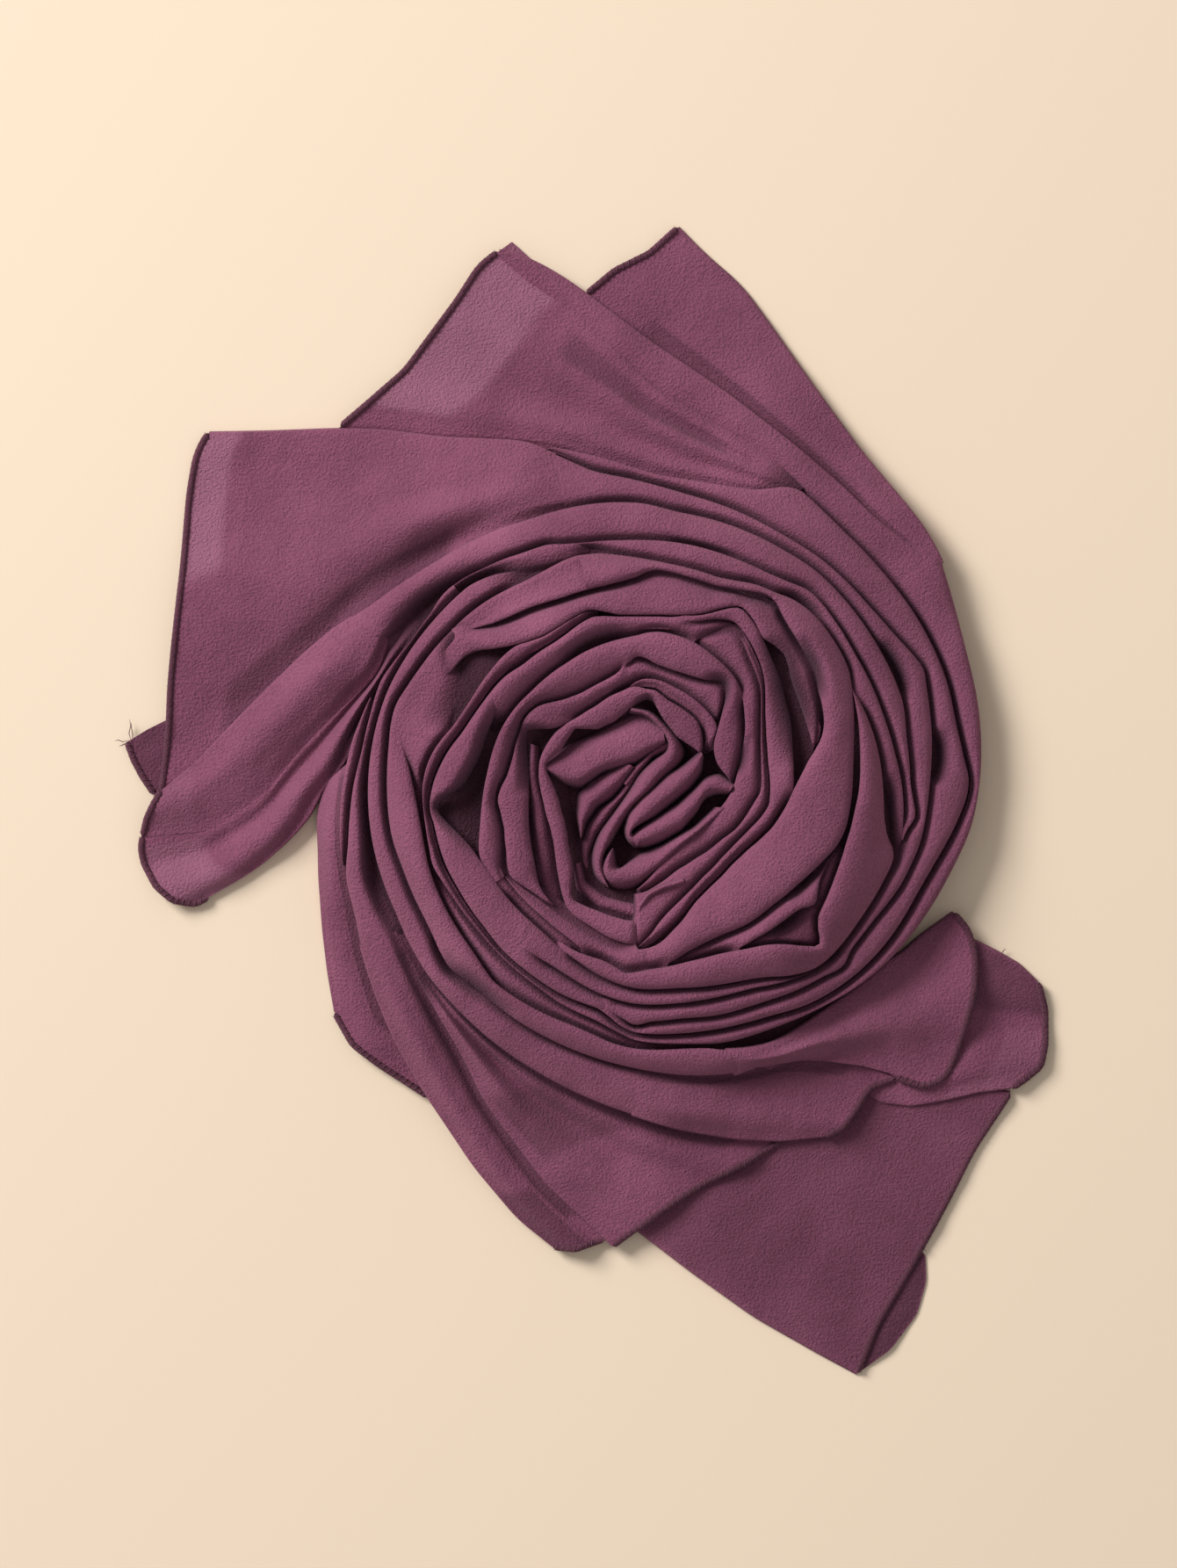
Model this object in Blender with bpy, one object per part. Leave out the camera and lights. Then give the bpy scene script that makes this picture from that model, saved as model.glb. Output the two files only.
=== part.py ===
"""A long crepe headscarf laid down as a coil, both ends fanned out flat.

The scarf is one rectangle, 72 x 180 cm. It is pleated lengthwise into a soft rope and wound round
on the table into a low rose, with one short end fanned to the upper left and one to the lower right.

Plan layout: x to the right, y to the top of the picture, z up from the table.
Fold lines of the coil are given round its own centre, as angle in degrees (anticlockwise from +x)
and radius in millimetres. One line may run through more than a turn, so angles go below -180.
Fan outlines are given in steps of the layout grid, x to the right and y down.
"""

import math

import bpy

MM = 0.001
COIL_CENTRE = (17.43, 3.34)      # mm, middle of the wound part
GRID = 0.3125                    # mm, one step of the fan layout grid
GRID_ZERO = (668.23, 910.82)     # grid steps, where x = y = 0 lies
GAP = 0.16                       # mm, half the gap left between two neighbouring stretches
PLY = 5.6                        # mm, how far a stretch of pleats reaches down from the dome line
CORE_CLEAR = 0.8                 # mm, between the hidden layers and what lies on them
HEART_ROOM = 2.4                 # mm, how much deeper the hidden layers lie under the heart
STATION = 6                      # degrees between two sections of the coil
WIDE = 12.0                      # mm, a stretch wider than this follows the dome underneath too
FAN_INSET = 0.4                  # mm, what a fanned layer keeps off its neighbours' side lines

# Height of the wound part over its radius, before the folds are added: radius mm, height mm.
DOME = ((0, 21), (12, 23), (24, 25.5), (36, 28.5), (48, 31), (60, 33), (70, 32.5), (80, 29.5),
        (90, 24.5), (100, 19.5), (110, 15.2), (120, 11.6), (130, 9.2), (150, 7.5))

# Outline of the hidden layers on the plan: angle degrees, distance from the coil's centre mm.
CORE_REACH = ((-180, 94), (-150, 92), (-138, 90), (-110, 96), (-94, 99), (-84, 93), (-70, 89),
              (-55, 93), (-40, 100), (-28, 106), (-20, 110), (-10, 114), (0, 118), (14, 121),
              (24, 123), (32, 120), (39, 109), (45, 106), (62, 104), (95, 103), (104, 97),
              (146, 95), (152, 90), (180, 94))

# Fold lines of the coil.
# step: how much higher the inner side stands than the outer one, mm (negative: the outer is on top).
# fade_low, fade_high: degrees over which the step dies away at the low and at the high end.
# path: angle degrees, radius mm.
LINES = {
    "S": dict(step=3.0, fade_low=0, fade_high=0, path=(
        (-260, 64.1), (-255, 65.8), (-250, 64.8), (-240, 63.6), (-235, 64.8), (-230, 66.6),
        (-225, 66.9), (-220, 66.7), (-210, 66.6), (-205, 67.2), (-200, 68.4), (-195, 71.0),
        (-190, 73.4), (-185, 74.9), (-180, 75.5), (-172, 75.4), (-165, 75.8), (-160, 76.5),
        (-155, 75.6), (-150, 74.8), (-140, 74.4), (-130, 75.4), (-120, 76.9), (-115, 78.0),
        (-110, 79.6), (-105, 80.9), (-100, 82.4), (-95, 85.2), (-90, 88.3), (-80, 91.0),
        (-70, 94.7), (-60, 97.2), (-50, 101.0), (-40, 105.6), (-32, 109.0), (-25, 111.6),
        (-15, 115.6), (-5, 120.6), (5, 123.6), (14, 125.8), (23, 128.0), (35, 134.7), (39, 138.4))),
    "A": dict(step=3.0, fade_low=0, fade_high=14, path=(
        (-256, 63.3), (-250, 61.8), (-245, 60.4),
        (-240, 59.8), (-230, 59.8), (-220, 61.6), (-210, 62.5), (-200, 64.4), (-190, 68.7),
        (-180, 72.3), (-175, 73.2), (-170, 72.3), (-160, 72.2), (-150, 71.7), (-140, 71.9),
        (-130, 73.4), (-120, 74.7), (-110, 76.6), (-100, 78.1), (-97, 80.2), (-94, 83.1),
        (-90, 85.5), (-80, 87.2), (-70, 89.4), (-60, 92.5), (-50, 97.8), (-40, 101.6),
        (-30, 104.3), (-20, 106.5), (-15, 108.6), (-10, 111.7), (-5, 115.2), (0, 118.3),
        (2, 118.7), (6, 117.4), (12, 116.6), (20, 117.5), (30, 117.7), (40, 117.6), (50, 118.4),
        (55, 119.7), (60, 121.4), (66, 123.8))),
    "B": dict(step=2.4, fade_low=6, fade_high=0, path=(
        (-98, 77.8), (-94, 80.2), (-90, 82.8), (-86, 81.7), (-80, 81.9), (-70, 84.4), (-60, 86.9),
        (-50, 91.2), (-45, 93.4), (-40, 96.2), (-36, 94.8), (-30, 95.6), (-25, 97.4), (-20, 99.6),
        (-15, 101.2), (-10, 102.7), (0, 104.2), (10, 106.9), (20, 110.0), (23, 111.2), (26, 110.0),
        (30, 108.0), (35, 106.5), (40, 105.8), (50, 105.6), (60, 105.0), (70, 105.8), (80, 107.0),
        (85, 108.5), (90, 110.6), (97, 114.4), (100, 118.0), (103, 122.6), (105, 125.5))),
    "C": dict(step=2.4, fade_low=14, fade_high=0, path=(
        (-128, 69.6), (-122, 68.2), (-116, 68.5), (-110, 69.7), (-100, 72.8), (-90, 75.2),
        (-80, 76.3), (-70, 78.0), (-60, 80.8), (-55, 83.7), (-50, 86.9), (-45, 89.8), (-40, 91.0),
        (-30, 91.8), (-20, 93.8), (-15, 95.7), (-9, 96.7), (-5, 99.6), (-2, 98.6), (2, 97.5),
        (10, 97.8), (20, 100.0), (30, 100.1), (40, 100.5), (50, 101.0), (60, 100.3), (70, 100.2),
        (80, 100.1), (90, 102.4), (100, 103.2), (110, 103.6), (120, 105.6), (130, 108.0),
        (135, 109.8), (140, 112.3), (145, 115.3), (150, 120.1), (154, 124.2))),
    "D": dict(step=2.4, fade_low=6, fade_high=0, path=(
        (-10, 95.9), (0, 94.6), (10, 92.5), (20, 91.6), (30, 91.6), (40, 92.8), (48, 94.0),
        (55, 91.3), (60, 90.1), (70, 89.4), (80, 89.2), (90, 88.9), (100, 89.6), (106, 91.0),
        (110, 92.8), (115, 93.4), (120, 94.7), (130, 97.2), (140, 100.1), (145, 102.0),
        (150, 104.2), (155, 107.4), (160, 111.8), (165, 118.0), (168, 122.6))),
    "K": dict(step=2.6, fade_low=12, fade_high=8, path=(
        (-118, 61.4), (-110, 63.3), (-100, 66.9), (-90, 69.7), (-80, 70.8), (-70, 73.4),
        (-60, 77.2), (-55, 80.3), (-50, 85.2), (-44, 89.6), (-40, 90.6), (-30, 91.5), (-20, 93.4),
        (-15, 94.4), (-13, 93.6), (-10, 90.4), (-5, 88.2), (0, 87.6), (10, 86.8), (20, 85.6),
        (25, 84.8))),
    "L": dict(step=-3.0, fade_low=10, fade_high=0, path=(
        (-118, 59.4), (-110, 60.4), (-102, 60.8), (-97, 62.4), (-93, 64.3), (-85, 63.1),
        (-75, 62.9), (-65, 64.1), (-60, 65.6), (-55, 68.0), (-50, 71.0), (-46, 75.2), (-43, 80.2),
        (-40, 84.6), (-37, 80.6), (-34, 78.0), (-30, 77.3), (-20, 76.4), (-15, 76.4), (-10, 76.9),
        (-5, 77.6), (0, 78.7), (10, 80.4), (20, 83.0), (24, 84.2))),
    "Z": dict(step=2.4, fade_low=0, fade_high=0, path=(
        (-57, 65.6), (-50, 67.3), (-45, 68.5), (-40, 69.7), (-36, 71.2), (-32, 74.8), (-29, 73.4),
        (-25, 72.1), (-20, 72.5), (-16, 73.8))),
    "E": dict(step=2.4, fade_low=12, fade_high=0, path=(
        (-84, 62.4), (-78, 61.2), (-70, 59.2), (-65, 58.8), (-60, 59.0), (-55, 60.0), (-50, 61.2),
        (-45, 62.0), (-40, 62.8), (-35, 64.3), (-30, 66.0), (-25, 68.2), (-20, 70.7), (-15, 73.6),
        (-10, 75.2), (-5, 75.8), (0, 76.4), (5, 77.0), (10, 78.1), (15, 79.8), (20, 82.0),
        (25, 84.4), (30, 86.8), (35, 87.8), (45, 88.7), (50, 87.9), (55, 85.8), (60, 84.4),
        (65, 82.2), (70, 80.9), (80, 81.1), (90, 82.6), (95, 84.2), (100, 87.2), (104, 88.7))),
    "X": dict(step=-3.0, fade_low=0, fade_high=14, path=(
        (-147, 55.0), (-140, 52.2), (-130, 50.3), (-120, 50.2), (-110, 51.9), (-100, 55.0),
        (-95, 56.2), (-90, 56.6), (-85, 55.4), (-80, 53.1), (-70, 48.4), (-65, 45.8), (-60, 44.1),
        (-50, 42.8), (-40, 42.7), (-30, 44.1), (-20, 47.6), (-15, 49.8), (-10, 51.6), (-5, 53.5),
        (0, 55.4), (5, 58.2), (10, 61.8), (13, 64.9), (16, 68.0), (20, 70.6), (25, 72.4),
        (30, 73.9), (35, 75.9), (40, 77.3), (46, 78.9), (50, 80.7), (54, 83.2), (56, 83.4),
        (60, 81.4), (65, 79.1), (70, 77.8), (75, 77.8), (80, 78.3), (84, 78.6), (87, 77.6),
        (90, 75.6), (95, 74.0), (100, 73.3), (110, 73.0), (115, 73.7), (120, 74.8), (125, 75.8),
        (130, 77.6), (135, 81.2), (139, 83.8))),
    "J": dict(step=-3.0, fade_low=0, fade_high=10, path=(
        (13, 64.4), (20, 64.6), (25, 65.1), (30, 65.9), (35, 67.2), (40, 70.0), (43, 71.2),
        (46, 71.0), (50, 70.2), (55, 72.9), (60, 74.8), (63, 73.0), (65, 71.0), (70, 66.5),
        (75, 64.3), (80, 63.0), (90, 62.1), (95, 62.4), (100, 64.2), (105, 66.0), (110, 65.1),
        (115, 64.1), (120, 63.9), (125, 65.0), (130, 67.2), (135, 71.0), (139, 75.2), (142, 77.0),
        (148, 78.0))),
    "T": dict(step=-2.4, fade_low=10, fade_high=0, path=(
        (-194, 86.4), (-190, 83.5), (-185, 80.3), (-180, 78.4), (-175, 77.4), (-170, 77.0),
        (-165, 77.3), (-160, 77.9), (-150, 78.8), (-140, 80.0), (-135, 81.0), (-130, 82.8),
        (-126, 84.2), (-120, 84.6), (-110, 85.4), (-105, 86.0), (-100, 87.5), (-95, 89.8),
        (-90, 91.3), (-80, 92.8), (-75, 94.4), (-70, 97.8), (-65, 100.6), (-60, 102.3),
        (-53, 102.8), (-48, 103.6), (-40, 106.4), (-32, 109.4))),
    "M": dict(step=2.6, fade_low=0, fade_high=0, path=(
        (-265, 83.0), (-250, 83.3), (-240, 84.3), (-230, 85.8), (-220, 86.8), (-210, 88.0),
        (-205, 89.0), (-199, 90.4), (-195, 90.0), (-190, 89.0), (-180, 88.2), (-170, 88.0),
        (-160, 87.0), (-150, 87.3), (-145, 88.2), (-140, 90.0), (-136, 91.1), (-130, 90.3),
        (-120, 91.3), (-110, 93.0), (-100, 95.4), (-90, 98.5), (-80, 102.5), (-70, 106.5),
        (-60, 110.4))),
    "P": dict(step=2.4, fade_low=8, fade_high=0, path=(
        (-243, 87.5), (-240, 89.8), (-235, 92.4), (-230, 93.8), (-220, 93.9), (-210, 94.4),
        (-200, 95.0), (-190, 95.0), (-170, 95.2), (-155, 95.4), (-145, 97.2), (-138, 98.7),
        (-130, 100.0), (-120, 102.5), (-110, 105.6), (-100, 110.0), (-90, 115.6), (-80, 123.4))),
    "N": dict(step=2.2, fade_low=8, fade_high=0, path=(
        (-227, 97.6), (-220, 96.2), (-214, 96.0), (-208, 97.4), (-203, 98.6), (-195, 98.1),
        (-190, 98.2), (-180, 100.6), (-170, 103.8), (-163, 107.6), (-157, 109.0), (-150, 112.5),
        (-140, 118.7), (-132, 125.0))),
    "O": dict(step=2.0, fade_low=0, fade_high=6, path=(
        (-203, 99.4), (-195, 101.0), (-190, 102.3), (-185, 103.3), (-180, 104.4), (-170, 106.7),
        (-163, 108.2))),
    "Q": dict(step=2.4, fade_low=0, fade_high=0, path=(
        (-172, 95.9), (-165, 97.5), (-160, 98.7), (-150, 99.2), (-143, 100.6), (-139, 102.0),
        (-133, 104.7), (-130, 106.6), (-127, 108.7), (-123, 112.5), (-120, 116.2), (-117, 121.0),
        (-114, 125.2))),
}

# Lines of the inner turns.
LINES.update({
    # Inner end of the left-hand ribbon round the gap, and its tent at the left.
    "VL": dict(step=-3.0, fade_low=0, fade_high=0, path=(
        (-213, 57.2), (-205, 56.4), (-195, 56.3), (-190, 57.2), (-185, 59.2), (-181, 62.0),
        (-178, 67.5), (-175, 70.8), (-173, 69.6), (-170, 67.2), (-167, 64.8), (-163, 62.4),
        (-160, 61.1), (-157, 60.4), (-150, 59.0), (-140, 59.0), (-130, 59.1), (-120, 60.2),
        (-117, 61.0))),
    "V": dict(step=3.0, fade_low=0, fade_high=0, path=(
        (0, 55.2), (5, 55.7), (10, 56.5), (15, 57.3), (20, 58.7), (25, 60.2), (30, 61.5),
        (35, 63.2), (40, 65.3), (45, 67.2), (50, 70.0), (55, 72.6), (60, 74.4), (63, 72.6),
        (65, 70.3), (70, 66.0), (75, 63.9), (80, 62.4), (90, 61.6), (95, 61.8), (100, 62.6),
        (104, 63.3))),
    "BB": dict(step=1.6, fade_low=0, fade_high=8, path=(
        (-147, 55.4), (-140, 55.2), (-130, 55.3), (-120, 56.3), (-110, 58.2), (-104, 59.3))),
    "Y": dict(step=1.6, fade_low=0, fade_high=0, path=(
        (-148, 55.0), (-140, 52.2), (-130, 50.4), (-120, 50.3), (-110, 51.9), (-100, 54.4),
        (-95, 55.4), (-88, 55.6))),
    "G2": dict(step=-1.6, fade_low=0, fade_high=0, path=(
        (-84, 50.8), (-80, 47.2), (-75, 44.3), (-70, 42.4), (-60, 39.8), (-50, 38.5), (-40, 38.4),
        (-30, 39.4), (-20, 41.9), (-10, 45.8), (-5, 47.3), (0, 47.4), (10, 47.6), (20, 49.2),
        (30, 52.8), (35, 55.8), (40, 59.3), (45, 62.4), (50, 65.0), (55, 67.4), (60, 69.0),
        (65, 67.0), (70, 63.8), (75, 61.6))),
    "G3": dict(step=-1.6, fade_low=0, fade_high=0, path=(
        (-90, 36.4), (-85, 35.8), (-75, 33.6), (-60, 31.5), (-50, 31.8), (-40, 33.1), (-30, 34.8),
        (-20, 38.0), (-10, 40.6), (-5, 42.2), (0, 44.0), (10, 45.0), (20, 46.9), (30, 50.9),
        (35, 53.9), (40, 57.2), (50, 61.9), (55, 65.0), (58, 66.2), (64, 61.6), (70, 57.4))),
    "CR": dict(step=-2.4, fade_low=0, fade_high=0, path=(
        (-90, 35.0), (-80, 30.6), (-70, 26.8), (-60, 25.2), (-50, 24.2), (-40, 24.2), (-30, 25.2),
        (-20, 27.6), (-10, 30.8), (0, 33.8), (10, 36.4), (20, 39.8), (30, 44.5), (40, 49.2),
        (44, 51.6))),
    "CC": dict(step=2.6, fade_low=0, fade_high=0, path=(
        (40, 49.2), (45, 52.0), (50, 53.4), (60, 55.0), (70, 56.5), (80, 56.9), (85, 56.3),
        (90, 54.9), (100, 53.5), (110, 52.4), (120, 51.4), (135, 51.1), (145, 51.8), (155, 52.4),
        (170, 52.8), (180, 53.9), (190, 55.8), (195, 57.3), (200, 59.2), (203, 60.0))),
    "DR": dict(step=-2.4, fade_low=0, fade_high=0, path=(
        (0, 33.2), (5, 33.6), (10, 32.3), (15, 30.9), (20, 30.3), (25, 30.6), (30, 31.8),
        (35, 34.4), (40, 38.8), (45, 44.2), (48, 47.2), (51, 48.6), (54, 48.0), (58, 46.3),
        (65, 45.0), (72, 44.6), (80, 45.2), (86, 47.0), (90, 47.9), (93, 45.6))),
    "DD": dict(step=2.0, fade_low=6, fade_high=0, path=(
        (93, 45.6), (97, 43.2), (100, 41.9), (107, 40.5), (118, 39.7), (127, 40.9), (132, 42.6),
        (140, 46.0), (146, 46.9), (155, 46.1), (165, 45.2), (172, 45.7), (180, 48.2), (184, 49.0),
        (190, 48.4), (195, 48.4), (200, 49.4), (205, 50.6), (210, 52.8), (213, 54.6))),
    "F1": dict(step=2.0, fade_low=0, fade_high=0, path=(
        (34, 33.2), (38, 36.4), (42, 37.4), (50, 38.0), (60, 38.6), (70, 39.2), (80, 40.0),
        (85, 39.8), (90, 38.6), (93, 37.2), (97, 35.9), (105, 34.8), (118, 33.2), (125, 33.2),
        (132, 33.7), (136, 34.4))),
    "F3": dict(step=-3.0, fade_low=0, fade_high=0, path=(
        (132, 34.0), (140, 35.5), (144, 37.4), (148, 41.3), (151, 43.8), (155, 43.0), (160, 41.0),
        (165, 39.3), (172, 38.1), (180, 37.9), (190, 38.6), (200, 40.2), (210, 42.4), (215, 43.8),
        (220, 45.8), (226, 48.2), (232, 49.4))),
    "F2": dict(step=2.0, fade_low=0, fade_high=0, path=(
        (30, 26.9), (36, 29.2), (45, 32.1), (50, 33.0), (60, 33.4), (70, 34.0), (75, 35.2),
        (80, 36.3), (86, 36.3), (92, 35.6))),
    "H": dict(step=2.2, fade_low=0, fade_high=0, path=(
        (135, 34.3), (145, 35.3), (160, 35.8), (170, 35.0), (180, 33.7), (190, 32.9), (200, 32.9),
        (210, 34.0), (215, 35.3), (220, 37.2), (225, 39.5), (230, 42.2), (235, 45.3), (240, 48.2),
        (245, 49.5), (250, 50.2), (255, 51.4), (260, 52.8), (266, 54.0))),
    "I": dict(step=-3.0, fade_low=0, fade_high=0, path=(
        (33, 26.0), (42, 24.7), (52, 24.0), (60, 25.0), (68, 26.8), (72, 28.3), (76, 30.3), (80, 32.3), (83, 32.5), (86, 31.7),
        (90, 30.6), (95, 28.9), (100, 27.4), (110, 25.6), (120, 25.6), (130, 28.6), (135, 30.8),
        (140, 30.4), (150, 30.2), (155, 31.0), (160, 32.4), (164, 33.2), (168, 32.2), (172, 30.6),
        (176, 29.4), (180, 28.4), (190, 27.3), (200, 27.3), (210, 28.3), (220, 31.0), (225, 32.6),
        (230, 35.0), (235, 39.4), (238, 43.0), (241, 44.4), (250, 44.4), (260, 45.1), (266, 45.8))),
    "FL": dict(step=2.2, fade_low=0, fade_high=0, path=(
        (61, 122.6), (64, 119.6), (66, 117.2), (70, 114.5), (75, 112.9), (80, 112.3), (85, 112.6),
        (90, 115.0), (95, 118.7), (100, 122.8), (104, 126.4))),
})

# Stretches of the coil: one for each run of a pleat that shows.
# outer, inner: the fold lines that bound it; low, high: where it starts and ends, degrees;
# swell: how far its middle rises above a straight line between its edges, mm.
STRETCHES = (
    dict(name="pleat_right_outer", outer=("S",), inner=("A",), low=-156, high=38, swell=0.8),
    dict(name="pleat_left_gutter", outer=("S",), inner=("A",), low=-252, high=-174, swell=-0.3),
    dict(name="pleat_top_second", outer=("A", "FL"), inner=("B",), low=-97, high=103, swell=0.8,
         turn=62),
    dict(name="pleat_lower_slip", outer=("A",), inner=("C", "K"), low=-127, high=-98.5, swell=0.6),
    dict(name="pleat_top_third", outer=("B",), inner=("C",), low=-94, high=104, swell=0.8),
    dict(name="pleat_top_fourth", outer=("C",), inner=("D",), low=-8, high=146, swell=0.9),
    dict(name="pleat_lower_fourth", outer=("C",), inner=("K", "VL"), low=-126.5, high=-52, swell=0.5),
    dict(name="pleat_top_fifth", outer=("D",), inner=("K", "E"), low=-6, high=102, swell=0.5),
    dict(name="pleat_lower_fifth", outer=("K",), inner=("L",), low=-115, high=23, swell=1.0),
    dict(name="pleat_lower_slot", outer=("L",), inner=("Z",), low=-54, high=-18, swell=-0.5),
    dict(name="pleat_lower_sixth", outer=("L", "Z"), inner=("E",), low=-80, high=-19, swell=0.4,
         turn=-57),
    dict(name="pleat_right_broad", outer=("E",), inner=("X",), low=-81, high=103, swell=1.6),
    dict(name="pleat_right_inner", outer=("X",), inner=("J",), low=18, high=129, swell=0.8),
    dict(name="pleat_left_outer", outer=("M",), inner=("X", "S"), low=-256.5, high=-195, swell=-1.6),
    dict(name="pleat_left_lower", outer=("M",), inner=("T",), low=-193.5, high=-70, swell=0.9),
    dict(name="pleat_left_third", outer=("T",), inner=("S",), low=-167, high=-78, swell=0.6),
    dict(name="pleat_left_second", outer=("P",), inner=("M",), low=-240, high=-90, swell=0.7),
    dict(name="pleat_left_first", outer=("N",), inner=("P", "Q"), low=-222, high=-150, swell=0.5,
         turn=-170),
    dict(name="pleat_left_rim", outer=("O",), inner=("N",), low=-197, high=-168, swell=0.2),
    dict(name="pleat_top_hollow", outer=("D",), inner=("M", "P"), low=105, high=131, swell=-1.5,
         turn=117),
    dict(name="ribbon_left", outer=("A",), inner=("VL", "L"), low=-212, high=-128, swell=0.6),
    dict(name="ribbon_top", outer=("V", "A"), inner=("CC",), low=76, high=146.5, swell=0.6),
    dict(name="ribbon_right_first", outer=("X", "V"), inner=("G2",), low=-82, high=70, swell=0.5,
         turn=0),
    dict(name="ribbon_right_second", outer=("G2",), inner=("G3", "CC"), low=-82, high=72, swell=0.4,
         turn=69),
    dict(name="ribbon_right_third", outer=("G3",), inner=("CR", "CC"), low=-70, high=66, swell=0.4,
         turn=42),
    dict(name="ribbon_second_turn", outer=("CR", "CC"), inner=("DR", "DD"), low=6, high=201,
         swell=0.8, turn=42),
    dict(name="ribbon_lower_first", outer=("VL", "L"), inner=("BB",), low=-146, high=-109, swell=0.2,
         turn=-117),
    dict(name="ribbon_lower_second", outer=("BB", "L"), inner=("Y",), low=-144, high=-89, swell=0.4,
         turn=-107),
    dict(name="ribbon_third_turn", outer=("DR", "DD"), inner=("F1", "F3"), low=42, high=211,
         swell=0.4, turn=93),
    dict(name="ribbon_fourth_turn", outer=("F1",), inner=("F2",), low=38, high=89, swell=0.2),
    dict(name="ribbon_fifth_turn", outer=("F2", "F1", "H"), inner=("I",), low=36, high=265,
         swell=0.4, turn=91),
)

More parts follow.
